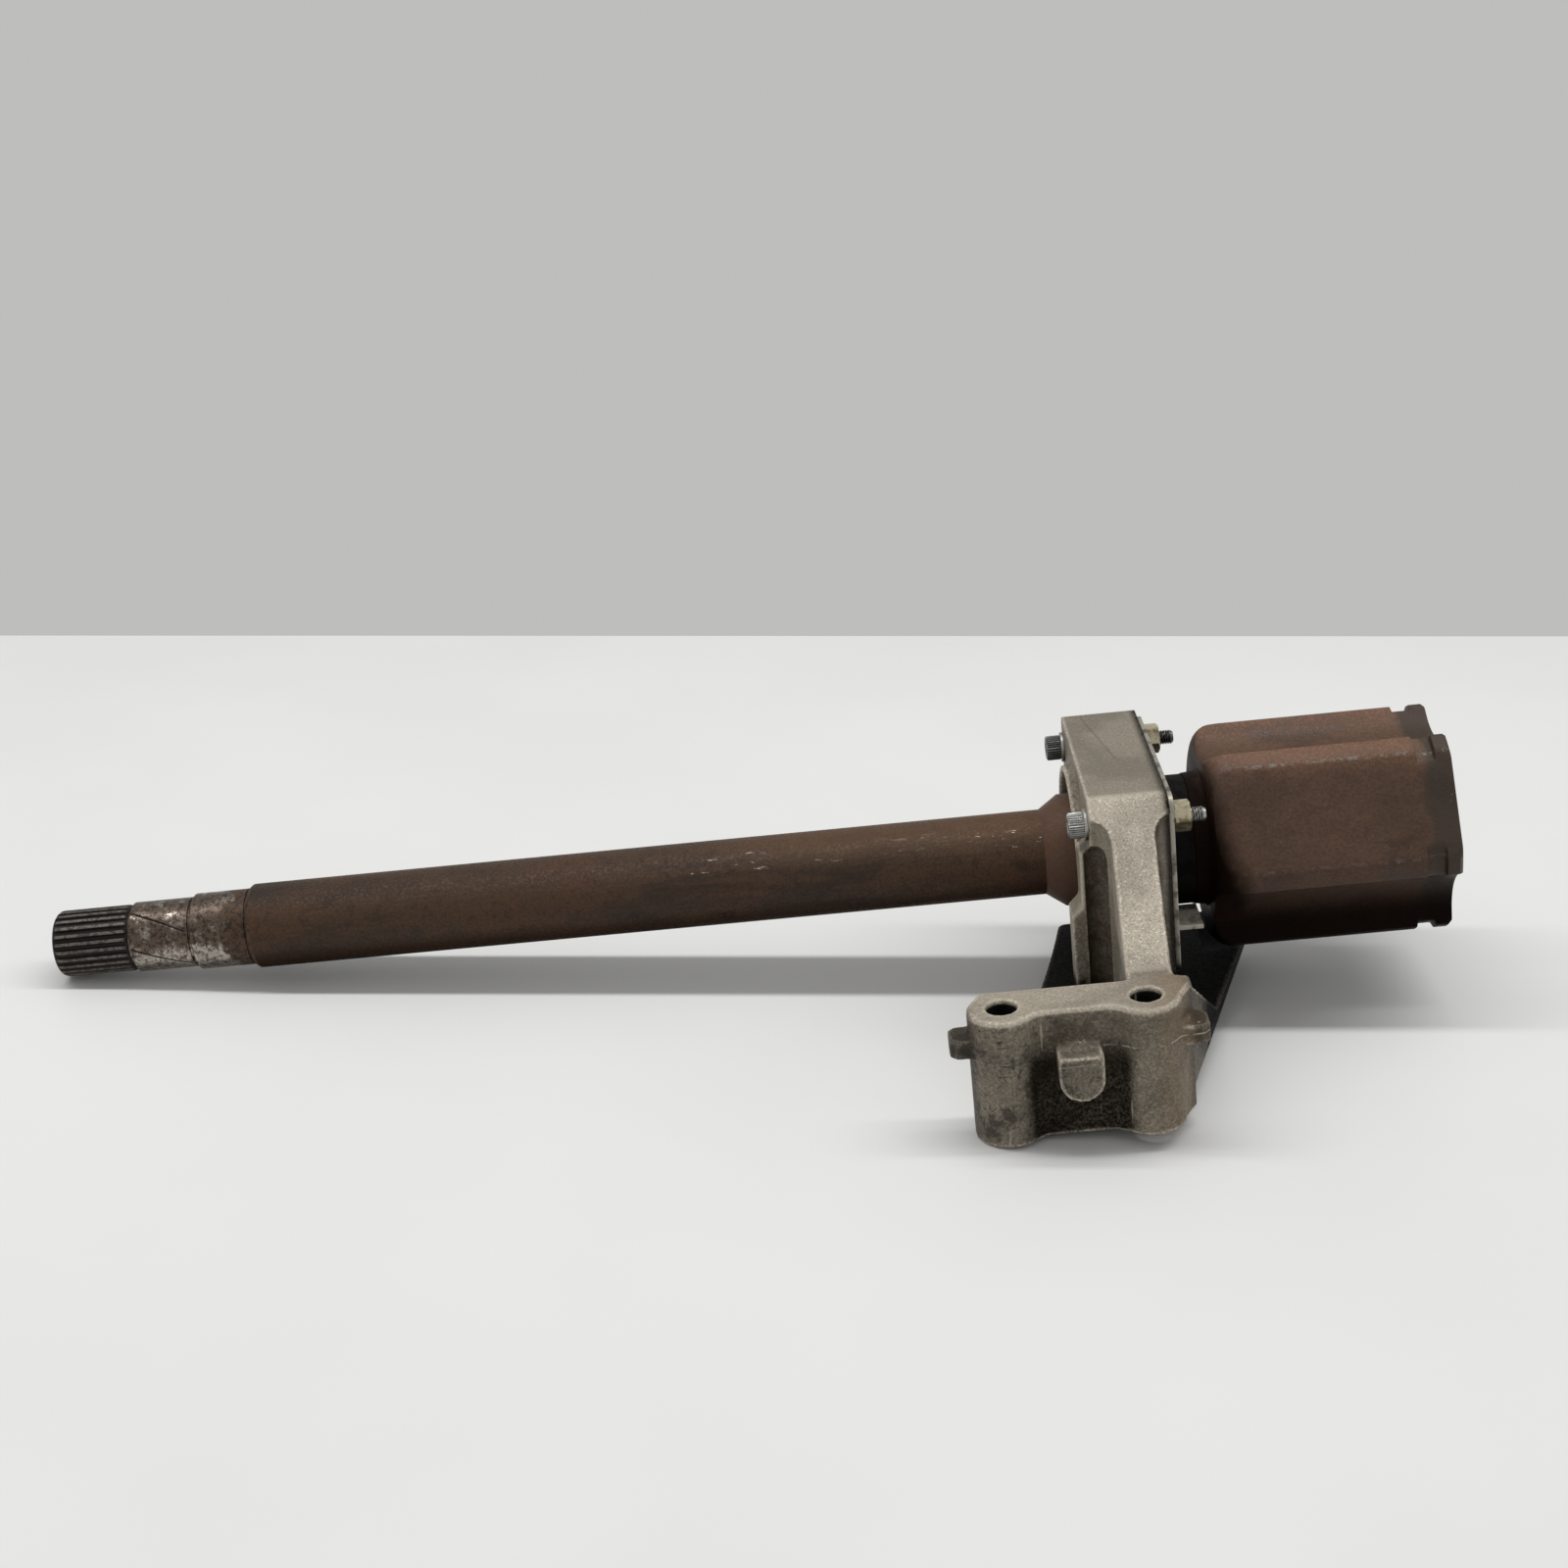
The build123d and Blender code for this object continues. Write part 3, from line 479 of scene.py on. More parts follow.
def bar_rust(name, shaft):
    """Dark rust of the rolled bar, with orange patches, streaks along it and bright nicks on top."""
    paint = Finish(name, 0.3)
    band, within, coat, spots = paint.band, paint.within, paint.coat, paint.spots
    x, y, z = paint.split(paint.where)
    patches = spots(0.4, 0.6, 22, 5, 0.7, (0.35, 1, 1))
    orange = spots(0.52, 0.72, 31, 5, 0.65, (0.5, 1, 1))
    streaks = spots(0.35, 0.75, 300, 4, 0.6, (0.1, 1, 1))
    grain = spots(0.38, 0.62, 900, 4, 0.75)
    blots = spots(0.52, 0.66, 200, 4, 0.75)
    paint.base = paint.blend(patches, shaft.bar_dark, shaft.bar_rust)
    coat(shaft.bar_orange, orange, 0.55)
    coat(tinted(shaft.bar_rust, 1.4), streaks, 0.45)
    coat(tinted(shaft.bar_dark, 0.6), blots, 0.5)
    coat(tinted(shaft.bar_dark, 0.6), grain, 0.4)
    coat(tinted(shaft.bar_dark, 0.5), band(x, bar_end - 80 * MM, bar_end - 200 * MM, 0.0, 0.25))
    # Painted light: the bar's top made lighter near the flare.
    lit_crown = band(z, bar_radius * 0.5, bar_radius * 0.85)
    coat(tinted(shaft.bar_rust, 2.2), lit_crown, band(x, bar_end - 150 * MM, bar_end - 80 * MM), 0.3)
    # Painted shade: the bar's underside made darker, with less sheen.
    low = band(z, 1 * MM, -bar_radius * 0.8)
    coat(tinted(shaft.bar_dark, 0.45), low, 0.7)
    paint.dull(low, 0.3)

    nicks = spots(0.61, 0.66, 520, 3, 0.8, (0.2, 1, 1))
    nick_area = spots(0.38, 0.52, 22, 2, 0.5)
    nick_zone = within(z, bar_radius * 0.6, bar_radius * 0.85, bar_radius * 0.12)
    near_flare = band(x, bar_end - 200 * MM, bar_end - 80 * MM, 0.03, 1.0)
    coat(tinted(shaft.bright, 1.2), nicks, nick_zone, nick_area, near_flare)
    gouge_along = within(x, 266 * MM, 271 * MM, 1.5 * MM)
    gouge_across = within(z, -9.5 * MM, -6.5 * MM, 1 * MM)
    coat(shaft.gouge, gouge_along, gouge_across, band(y, 0, -1 * MM), band(grain, 0.0, 0.4))
    return paint.done(band(grain, 0, 1, 0.4, 0.62), 0.15, paint.plus(grain, streaks), 0.08 * MM)


def bell_rust(name, shaft, bell):
    """Brown rust of the forging, greyer at the machined mouth, black with oil and painted shade at the neck
    and underneath, with painted light on the top lobe and wear with painted highlights on the lobes' edges.
    """
    paint = Finish(name, 0.3)
    band, times, coat, spots = paint.band, paint.times, paint.coat, paint.spots
    x, y, z = paint.split(paint.where)
    patches = spots(0.38, 0.66, 26, 5, 0.6)
    grain = spots(0.38, 0.62, 850, 4, 0.75)
    mottle = spots(0.45, 0.62, 170, 4, 0.7)
    wet = spots(0.5, 0.72, 38, 4, 0.6, (0.6, 1, 1))
    flecks = times(spots(0.66, 0.72, 620, 3, 0.75), spots(0.5, 0.65, 45, 3, 0.6), 0.8)
    third = FULL_TURN / 3
    turned = paint.calc("SUBTRACT", paint.calc("ARCTAN2", z, y), bell.first_lobe - third * 2.5)
    from_lobe = paint.calc("SUBTRACT", paint.calc("MODULO", turned, third), third / 2)
    from_edge = paint.calc("SUBTRACT", paint.absolute(from_lobe), bell.flat_angle)
    ridge = paint.within(from_edge, math.radians(-0.7), math.radians(0.5), math.radians(0.7))
    outside = band(paint.distance(y, z), 38 * MM, 41 * MM)
    off_back = band(x, collar_x + 12 * MM, collar_x + 20 * MM)
    # Wear and painted highlights on the lobes' edges, fading lower down and kept off the back.
    worn = times(
        ridge, outside, off_back, band(z, 4 * MM, 20 * MM, 0.25, 1.0), spots(0.46, 0.6, 330, 4, 0.8)
    )

    paint.base = paint.blend(patches, shaft.bell_rust, tinted(shaft.bell_rust, 0.75))
    coat(tinted(shaft.bell_rust, 0.5), mottle, 0.35)
    # Painted light: the top lobe made lighter.
    coat(tinted(shaft.bell_rust, 2.3), band(z, 30 * MM, 41 * MM, 0.0, 0.7))
    coat(shaft.bell_dark, wet, 0.6)
    coat(shaft.bell_dark, grain, 0.4)
    ragged_x = paint.plus(x, times(paint.noise(90, 4, 0.6), 10 * MM))
    mouth = band(ragged_x, mouth_x - 8 * MM, mouth_x - 4 * MM)
    coat(paint.blend(patches, shaft.bell_mouth, tinted(shaft.bell_mouth, 0.7)), mouth, 0.9)
    # Lays the edge wear and painted highlights.
    coat(tinted(shaft.bright, 0.5), worn, 0.7)
    coat(tinted(shaft.bright, 0.6), flecks)
    stem = band(x, bearing_start, bar_end + 2 * MM)
    coat(shaft.bar_orange, stem, 0.3)
    # Oil and painted shade: black underneath and towards the neck, with less sheen.
    low = band(z, -2 * MM, -28 * MM)
    near_neck = band(paint.plus(ragged_x, times(z, 0.3)), collar_x + 28 * MM, collar_x + 14 * MM)
    on_bell = band(x, bearing_end - 2 * MM, bearing_end)
    oil_and_shade = times(paint.most(times(low, 0.95), times(near_neck, 0.9)), on_bell)
    coat(tinted(shaft.bell_dark, 0.25), oil_and_shade)
    paint.dull(oil_and_shade, 0.35)
    return paint.done(
        band(wet, 0, 1, 0.52, 0.32), band(mouth, 0, 1, 0.05, 0.3), paint.plus(grain, patches), 0.05 * MM
    )


def ground_steel(name, shaft):
    """Stub finish: dark teeth with worn tips, bright ground journals with rust stains, rusty shoulder."""
    paint = Finish(name, 0.4)
    band, times, most, coat = paint.band, paint.times, paint.most, paint.coat
    x, y, z = paint.split(paint.where)
    seal_start = stub_start + shaft.tooth_length
    step_middle = bar_start - shaft.step_length * 0.6
    below = band(z, -3 * MM, 3 * MM, 0.0, 0.16)
    stains = band(paint.plus(paint.noise(150, 5, 0.75), below), 0.5, 0.64)
    specks = paint.spots(0.47, 0.58, 520, 4, 0.75)
    turned = paint.spots(0.3, 0.7, 900, 2, 0.5, (1.5, 0.02, 0.02))
    reach = paint.distance(y, z)

    paint.base = paint.blend(turned, shaft.bright, tinted(shaft.bright, 0.7))
    coat(shaft.stain, stains, 0.85)
    coat(tinted(shaft.stain, 0.4), specks, 0.75)
    line_floor = shaft.seal_journal - 0.05 * MM
    on_journal = paint.within(x, seal_start + 1.5 * MM, seal_start + shaft.seal_length, 0.3 * MM)
    coat(tinted(shaft.stain, 0.15), band(reach, line_floor, line_floor - 0.12 * MM), on_journal)

    ragged_x = paint.plus(x, times(paint.noise(150, 4, 0.6), 16 * MM))
    rusted = band(ragged_x, step_middle + 9 * MM, step_middle + 13 * MM)
    coat(paint.blend(specks, shaft.bar_rust, tinted(shaft.bar_dark, 0.8)), rusted)
    toothed = band(x, seal_start + 0.4 * MM, seal_start)
    tips = band(reach, shaft.tooth_tip - 0.5 * MM, shaft.tooth_tip - 0.1 * MM)
    teeth = paint.blend(stains, tinted(shaft.stain, 0.22), tinted(shaft.stain, 0.08))
    teeth = paint.blend(times(tips, band(specks, 0.7, 0.1, 0.3, 0.9)), teeth, tinted(shaft.bright, 0.33))
    coat(teeth, toothed)
    rough = most(rusted, toothed, times(stains, 0.45))
    return paint.done(
        band(rough, 0, 1, 0.24, 0.5), band(rough, 0, 1, 0.9, 0.3), paint.plus(specks, turned), 0.03 * MM
    )


def casting(name, look):
    """Cast aluminium: speckled, rubbed bright on its edges, dirty and darkened with painted shade in its
    hollows, black with grease and painted shade under the bell, and painted light on the arm's face and the
    foot's rim.
    """
    paint = Finish(name, 0.3)
    band, within, times, most = paint.band, paint.within, paint.times, paint.most
    coat, spots, plus = paint.coat, paint.spots, paint.plus
    x, y, z = paint.split(paint.where)
    coarse = spots(0.4, 0.6, 950, 4, 0.8)
    fine = spots(0.38, 0.62, 2200, 3, 0.8)
    pits = spots(0.55, 0.62, 330, 5, 0.85)
    blotch = spots(0.46, 0.64, 90, 5, 0.7)
    smudge = spots(0.42, 0.6, 28, 4, 0.6)
    open_air = paint.openness(14 * MM)
    facing = paint.split(paint.surface("Normal"))
    to_front = band(facing[1], 0.3, 0.0)
    from_middle = paint.calc("SUBTRACT", x, foot_middle_x)
    foot = band(y, foot_root_y, foot_root_y - 6 * MM)
    foot_front = times(foot, band(z, -2 * MM, -5 * MM))
    top = band(z, housing_top - 3 * MM, housing_top - 1 * MM)

    # The metal itself, cleaner on top of the foot, and on the arm's face cleaner and painted lighter where it
    # is open
    paint.base = paint.blend(coarse, tinted(look.casting, 0.6), tinted(look.casting, 1.15))
    coat(tinted(look.casting, 0.7), top, 0.5)
    # Painted light: the arm's face made lighter where it is open.
    arm_face = times(
        within(y, arm_start_y, arm_end_y + 2 * MM, 4 * MM), band(z, -12 * MM, -2 * MM),
        band(open_air, 0.78, 0.92),
    )
    clean_and_lit = most(arm_face, times(foot, band(z, -4 * MM, -2.2 * MM), 0.45))
    grain = spots(0.34, 0.66, 1500, 5, 0.8)
    coat(paint.blend(grain, tinted(look.worn, 0.55), tinted(look.worn, 1.15)), clean_and_lit, 0.9)
    coat(tinted(look.casting, 0.45), fine, 0.25)
    coat(tinted(look.grime_and_shade, 1.6), smudge, 0.3)

    # Pits and dirt, heavier to the left, with painted shade on the flutes and in the hollows
    left = band(from_middle, 10 * MM, -20 * MM, 0.4, 0.95)
    coat(look.grime_and_shade, pits, band(foot_front, 0, 1, 0.2, 1), left)
    coat(look.grime_and_shade, band(blotch, 0, 1, 0.3, 0.9), foot_front, left)
    right_end = times(band(from_middle, 20 * MM, 36 * MM), foot, 0.5)
    coat(look.earth, most(right_end, times(band(open_air, 0.86, 0.6), blotch, 0.6)))
    # Painted shade on the side faces of the flutes beside the arm, mottled.
    flutes = times(
        band(paint.absolute(facing[0]), 0.2, 0.75), within(y, foot_root_y, arm_end_y, 3 * MM),
        band(z, 36 * MM, 30 * MM), band(facing[0], -0.3, 0.3, 0.1, 1),
    )
    coat(look.grime_and_shade, flutes, band(blotch, 0, 1, 0.65, 0.9))
    # Dirt and painted shade where the casting is hollow, less on the arm's front faces.
    slots = times(within(y, arm_start_y, arm_end_y, 3 * MM), band(facing[1], -0.3, -0.7))
    dirt = band(plus(open_air, times(blotch, -0.15)), 0.72, 0.3)
    coat(look.grime_and_shade, dirt, band(slots, 0, 1, 0.55, 0.1))
    beside = paint.absolute(paint.calc("SUBTRACT", from_middle, 2 * MM))
    side_lugs = times(foot, band(beside, 36 * MM, 40 * MM))
    front_lug = times(band(y, lug_face_y + 6.5 * MM, lug_face_y + 5 * MM), band(pits, 0, 1, 0.3, 0.8))
    coat(look.grime_and_shade, most(times(side_lugs, 0.75), front_lug))

    # Painted shade, black: the web between the columns, the foot's lower middle and the bolt bores
    drifting_z = plus(z, times(paint.noise(70, 4, 0.65), 12 * MM))
    web_shade = times(
        within(from_middle, -16 * MM, 16 * MM, 6 * MM), foot,
        band(y, lug_face_y + 6.8 * MM, lug_face_y + 10.5 * MM), band(drifting_z, -4 * MM, -18 * MM),
    )
    # Painted shade: the foot's lower middle made black.
    middle = within(from_middle, -14 * MM, 14 * MM, 9 * MM)
    low = times(foot_front, band(drifting_z, -28 * MM, -42 * MM), middle)
    web_shade = times(most(web_shade, low), band(coarse, 0, 1, 0.97, 0.8), band(blotch, 0, 1, 1, 0.9))
    coat(tinted(look.grime_and_shade, 0.2), web_shade)
    # Painted shade: the bolt bores made black.
    from_bolt = paint.calc("SUBTRACT", paint.absolute(from_middle), bolt_offset)
    across = paint.calc("SUBTRACT", y, bolt_y)
    bore = band(paint.distance(from_bolt, across), 6.2 * MM, 5.7 * MM)
    coat(tinted(look.grime_and_shade, 0.15), bore, band(z, -2.2 * MM, -4 * MM))

    # Grease and painted shade with a ragged edge, behind the foot and under the bell
    ragged = times(paint.calc("SUBTRACT", paint.noise(45, 5, 0.7), 0.5), 70 * MM)
    along = plus(y, ragged)
    height = plus(z, times(ragged, 0.5))
    behind = times(band(along, -98 * MM, -82 * MM), band(height, -30 * MM, -40 * MM))
    right = times(band(x, bearing_end - 4 * MM, bearing_end), band(along, -95 * MM, -70 * MM))
    grease_and_shade = most(behind, right)
    coat(look.grease, grease_and_shade)
    paint.dull(most(grease_and_shade, web_shade), 0.3)

    # Bright metal: rubbed edges, scuffs, the foot's rim with wear and a painted highlight, and its mould seam
    rubbed = times(
        band(paint.surface("Pointiness"), 0.505, 0.535), band(open_air, 0.6, 0.8), band(coarse, 0, 1, 0.3, 1),
        band(grease_and_shade, 0, 1, 1, 0.1), band(side_lugs, 0, 1, 1, 0.25),
    )
    scuffs = times(spots(0.68, 0.72, 420, 2, 0.6, (1, 1, 0.07)), foot_front, to_front, 0.6)
    # The foot's top front edge: wear and a painted highlight.
    rim = times(
        within(z, -2.9 * MM, -1.9 * MM, 0.4 * MM), foot, band(facing[1], -0.2, -0.6),
        band(coarse, 0, 1, 0.5, 1),
    )
    seam = times(
        within(plus(z, times(from_middle, -0.03)), -17 * MM, -16.7 * MM, 0.2 * MM), foot, to_front,
        spots(0.42, 0.56, 200, 3, 0.7), band(from_middle, -10 * MM, 15 * MM, 0.25, 0.8),
    )
    coat(look.worn, most(rubbed, scuffs, seam, rim), 0.7)

    # The joint to the plate, and one scratch across the top
    joint = band(x, bearing_end - 1.6 * MM, bearing_end - 0.8 * MM)
    coat(tinted(look.grime_and_shade, 0.4), joint, blotch, band(z, 30 * MM, 36 * MM))
    lean = plus(times(y, 0.172), from_middle)
    scratch = times(within(lean, 30.6 * MM, 31 * MM, 0.3 * MM), top, within(y, -6 * MM, 40 * MM, 2 * MM))
    coat(tinted(look.grime_and_shade, 0.8), scratch, 0.35)
    return paint.done(band(coarse, 0, 1, 0.55, 0.4), 0.2, plus(coarse, blotch), 0.12 * MM)


def worn_metal(name, main, dark, metallic, rough, dirt=0.5):
    """A small metal piece: its colour with dirt in patches, and painted shade in its hollows and on its
    underside.
    """
    paint = Finish(name, 0.1)
    band, times = paint.band, paint.times
    patches = paint.spots(0.45, 0.66, 160, 4, 0.6)
    grain = paint.spots(0.3, 0.7, 2600, 3, 0.7)
    # Painted shade: darker in the hollows and on the underside.
    hollow = band(paint.openness(1.5 * MM), 0.95, 0.5)
    under = band(paint.split(paint.surface("Normal"))[2], 0.1, -0.7)
    paint.base = paint.blend(grain, tinted(main, 0.85), tinted(main, 1.1))
    paint.coat(dark, patches, dirt)
    paint.coat(tinted(dark, 0.4), paint.most(times(hollow, 0.9), times(under, 0.9)))
    return paint.done(band(patches, 0, 1, rough, min(1.0, rough + 0.2)), metallic, grain, 0.02 * MM)


def painted_board(name, studio):
    """Pale painted board with hardly any texture."""
    paint = Finish(name, 0.5)
    paint.base = paint.blend(paint.spots(0.3, 0.7, 6, 3, 0.5), tinted(studio.table, 0.97), studio.table)
    return paint.done(0.5, 0.0)


def paint_nodes(material, *nodes):
    """Gives shown CAD nodes a material."""
    for node in nodes:
        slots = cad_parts[node].data.materials
        slots.clear()
        slots.append(material)


# Operators, one for each piece or group of like pieces

class SHAFT_OT_stub(bpy.types.Operator):
    """Toothed gearbox end with its two journals"""

    bl_idname = "drive_shaft.stub"
    bl_label = "Splined Stub"

    def execute(self, context):
        shaft = context.scene.drive_shaft
        root, seal, step = shaft.tooth_root, shaft.seal_journal, shaft.step_journal
        tooth_end = stub_start + shaft.tooth_length
        seal_start = tooth_end + shaft.relief
        seal_end = seal_start + shaft.seal_length
        step_start = seal_end + shaft.relief
        step_end = step_start + shaft.step_length
        segments = shaft.teeth * 12
        line_width, line_depth, line_rise = 0.5 * MM, 0.35 * MM, math.radians(45)
        lines = [math.radians(angle) for angle in (112, 175.5)]

        def tooth(limit):
            def radius(angle):
                wave = math.cos(angle * shaft.teeth)
                share = min(1.0, max(0.0, 0.34 + wave * 1.15))
                share = share * share * (3 - 2 * share)
                return min(limit, root + (shaft.tooth_tip - root) * share)
            return radius

        def lined(x, base):
            def radius(angle):
                along = (x - seal_start) / shaft.seal_length
                depth = 0.0
                for start in lines:
                    gap = (angle - start - line_rise * along + math.pi) % FULL_TURN - math.pi
                    depth = max(depth, 1 - abs(gap) * base / line_width)
                return base - line_depth * max(0.0, depth)
            return radius

        # The rounded end, with the teeth growing out of it
        end_hub, end_face = 1.6 * MM, root - 2.2 * MM
        end_root, end_rise, end_length = root - 2.1 * MM, 3.2 * MM, 3 * MM
        rings = [(stub_start, end_hub), (stub_start, end_face)]
        for turn in spaced(0, FULL_TURN / 4, 6):
            end_x = stub_start + (1 - math.cos(turn)) * end_length
            rings.append((end_x, tooth(end_root + math.sin(turn) * end_rise)))

        # The teeth at full height, and where they run out
        no_limit = 1.0
        toothed = spaced(stub_start + 3.2 * MM, tooth_end - 1.5 * MM, 3)
        rings += [(x, tooth(no_limit)) for x in toothed]
        rings += [(tooth_end, root + 0.25 * MM), (tooth_end + 0.05 * MM, root), (seal_start, root)]

        # The seal journal with its scored lines, and the step journal, each with a relief groove
        seal_edge, seal_floor = 0.3 * MM, seal - 0.7 * MM
        step_edge, step_floor = 0.5 * MM, step - 0.6 * MM
        rings += [(seal_start, seal - seal_edge)]
        rings += [(x, lined(x, seal)) for x in spaced(seal_start + seal_edge, seal_end - 0.2 * MM, 60)]
        rings += [(seal_end, seal_floor), (step_start, seal_floor)]
        rings += [(step_start, step - step_edge), (step_start + step_edge, step)]
        shoulder = step_end + shaft.relief
        rings += [(step_end, step), (step_end, step_floor), (shoulder, step_floor)]
        rings += [(shoulder, bar_radius - 0.9 * MM), (bar_start - 0.4 * MM, bar_radius - 0.1 * MM)]
        rings += [(bar_start, bar_radius)]
        steel = finish_named("ground_steel", ground_steel, shaft)
        finish_piece(
            swept_rings(rings, segments), "stub_body", "shaft", steel, "splined_stub", 28
        )
        return {"FINISHED"}


class SHAFT_OT_bar(bpy.types.Operator):
    """Rolled bar between the stub and the stem"""

    bl_idname = "drive_shaft.bar"
    bl_label = "Shaft Bar"

    def execute(self, context):
        shaft = context.scene.drive_shaft
        rings = [(x, bar_radius) for x in spaced(bar_start, bar_end, 40)]
        rust = finish_named("bar_rust", bar_rust, shaft)
        finish_piece(swept_rings(rings, 128), "bar_body", "shaft", rust, "shaft_bar")
        return {"FINISHED"}


class SHAFT_OT_tripod_housing(bpy.types.Operator):
    """Stem, neck and three-lobed bell, one forging"""

    bl_idname = "drive_shaft.tripod_housing"
    bl_label = "Tripod Housing"

    def execute(self, context):
        shaft = context.scene.drive_shaft
        bell = context.scene.drive_housing
        third = FULL_TURN / 3
        flat = bell.radius * math.cos(bell.flat_angle)
        scoop_centre = bell.scoop_root + bell.scoop
        bell_start = collar_x + bell.collar_length

        def from_lobe(angle):
            return (angle - bell.first_lobe + third / 2) % third - third / 2

        def outline(limit):
            def radius(angle):
                lobe = from_lobe(angle)
                valley = abs(abs(lobe) - third / 2)
                reach = soft_least(flat / math.cos(lobe), bell.radius, 0.7 * MM)
                reach = soft_least(reach, limit, 0.5 * MM)
                side = scoop_centre * math.sin(valley)
                if side < bell.scoop:
                    scoop_depth = math.sqrt(bell.scoop ** 2 - side ** 2)
                    reach = soft_least(reach, scoop_centre * math.cos(valley) - scoop_depth, 2.2 * MM)
                return reach
            return radius

        def inside(grow):
            track_floor = flat - bell.wall

            def radius(angle):
                lobe = from_lobe(angle)
                side = bell.track_pitch * math.sin(lobe)
                track = 0.0
                if abs(side) < bell.track:
                    track_depth = math.sqrt(bell.track ** 2 - side ** 2)
                    track = bell.track_pitch * math.cos(lobe) + track_depth
                reach = soft_least(track, track_floor / math.cos(lobe), 1.5 * MM)
                return -soft_least(-reach, -bell.hub_hollow, 1.5 * MM) + grow
            return radius

        groove_end = mouth_x - bell.groove_setback
        groove_start = groove_end - bell.groove_width
        full, grooved = outline(bell.radius * 2), outline(bell.groove_radius)

        # Flare, stem, bearing seat, neck and collar
        seat_start = bearing_start - 3 * MM
        rings = [(bar_end, bar_radius), (bar_end + bell.flare_length, bell.stem_radius)]
        rings += [(seat_start, bell.stem_radius), (seat_start, bell.bearing_seat)]
        rings += [(bearing_end, bell.bearing_seat), (bearing_end, bell.neck_radius)]
        rings += [(collar_x - 0.4 * MM, bell.neck_radius), (collar_x, bell.neck_radius + 0.6 * MM)]
        rings += [(collar_x + 0.3 * MM, bell.collar_radius)]
        rings += [(bell_start - 0.8 * MM, bell.collar_radius + 0.5 * MM)]
        rings += [(bell_start, bell.collar_radius + 1.4 * MM)]

        # The bell's rounded back, its lobes and the boot clamp groove
        back, groove_edge, mouth_edge = bell.back_round, 0.6 * MM, 1.3 * MM
        for turn in spaced(0, FULL_TURN / 4, 8):
            backed = outline(bell.radius - back * (1 - math.sin(turn)))
            rings.append((bell_start + back * (1 - math.cos(turn)), backed))
        rings += [(x, full) for x in spaced(bell_start + back + 2 * MM, groove_start - groove_edge, 12)]
        rings += [(groove_start, grooved), (groove_end, grooved)]
        rings += [(groove_end + groove_edge, full), (mouth_x - mouth_edge, full)]
        rings += [(mouth_x, outline(bell.radius - mouth_edge))]

        # The roller tracks inside, down to the closed end
        floor_x, floor_edge = bell_start + bell.floor, 1.5 * MM
        rings += [(mouth_x, inside(0.8 * MM)), (mouth_x - 1.0 * MM, inside(0))]
        rings += [(x, inside(0)) for x in spaced(mouth_x - 4 * MM, floor_x + floor_edge, 6)]
        rings += [(floor_x, inside(-floor_edge)), (floor_x, 6 * MM), (floor_x - 2.5 * MM, 3.2 * MM)]
        rust = finish_named("bell_rust", bell_rust, shaft, bell)
        finish_piece(
            swept_rings(rings, 360), "tripod_body", "shaft", rust, "tripod_housing", 40
        )
        return {"FINISHED"}


class SHAFT_OT_bearing(bpy.types.Operator):
    """Finish of the bearing, the snap ring, the deflector and the dust ring"""

    bl_idname = "drive_shaft.bearing"
    bl_label = "Bearing and Rings"

    def execute(self, context):
        look = context.scene.drive_bracket
        steel = finish_named("bearing_steel", worn_metal, look.bearing, look.grime_and_shade, 0.9, 0.25, 0.2)
        brass = finish_named("cage_brass", worn_metal, look.cage, look.grime_and_shade, 0.8, 0.35)
        rubber = finish_named("seal_rubber", worn_metal, look.rubber, look.grime_and_shade, 0.0, 0.6, 0.3)
        ring = finish_named("dark_ring", worn_metal, look.dust_ring, look.grease, 0.0, 0.6)
        paint_nodes(steel, "bearing_inner_ring", "bearing_outer_ring", "bearing_balls")
        paint_nodes(brass, "bearing_cage")
        paint_nodes(rubber, "bearing_seal_left", "bearing_seal_right")
        paint_nodes(ring, "neck_dust_ring", "snap_ring", "stem_deflector")
        return {"FINISHED"}


class SHAFT_OT_bracket(bpy.types.Operator):
    """Cast bracket with rounded edges and its retaining plate"""

    bl_idname = "drive_shaft.bracket"
    bl_label = "Bearing Bracket"

    def execute(self, context):
        look = context.scene.drive_bracket
        bracket = finish_piece(
            merged_copy("bearing_bracket"), "bracket_casting", "bracket",
            finish_named("casting", casting, look), "bearing_bracket", 40,
        )
        cast_skin(bracket, look.skin)
        plate = merged_copy("retaining_plate")
        round_edges(plate, look.plate_round)
        finish_piece(
            plate, "clamp_plate", "bracket",
            finish_named("plate_zinc", worn_metal, look.plate, look.grime_and_shade, 0.6, 0.4, 0.7),
            "retaining_plate", 40,
        )
        return {"FINISHED"}


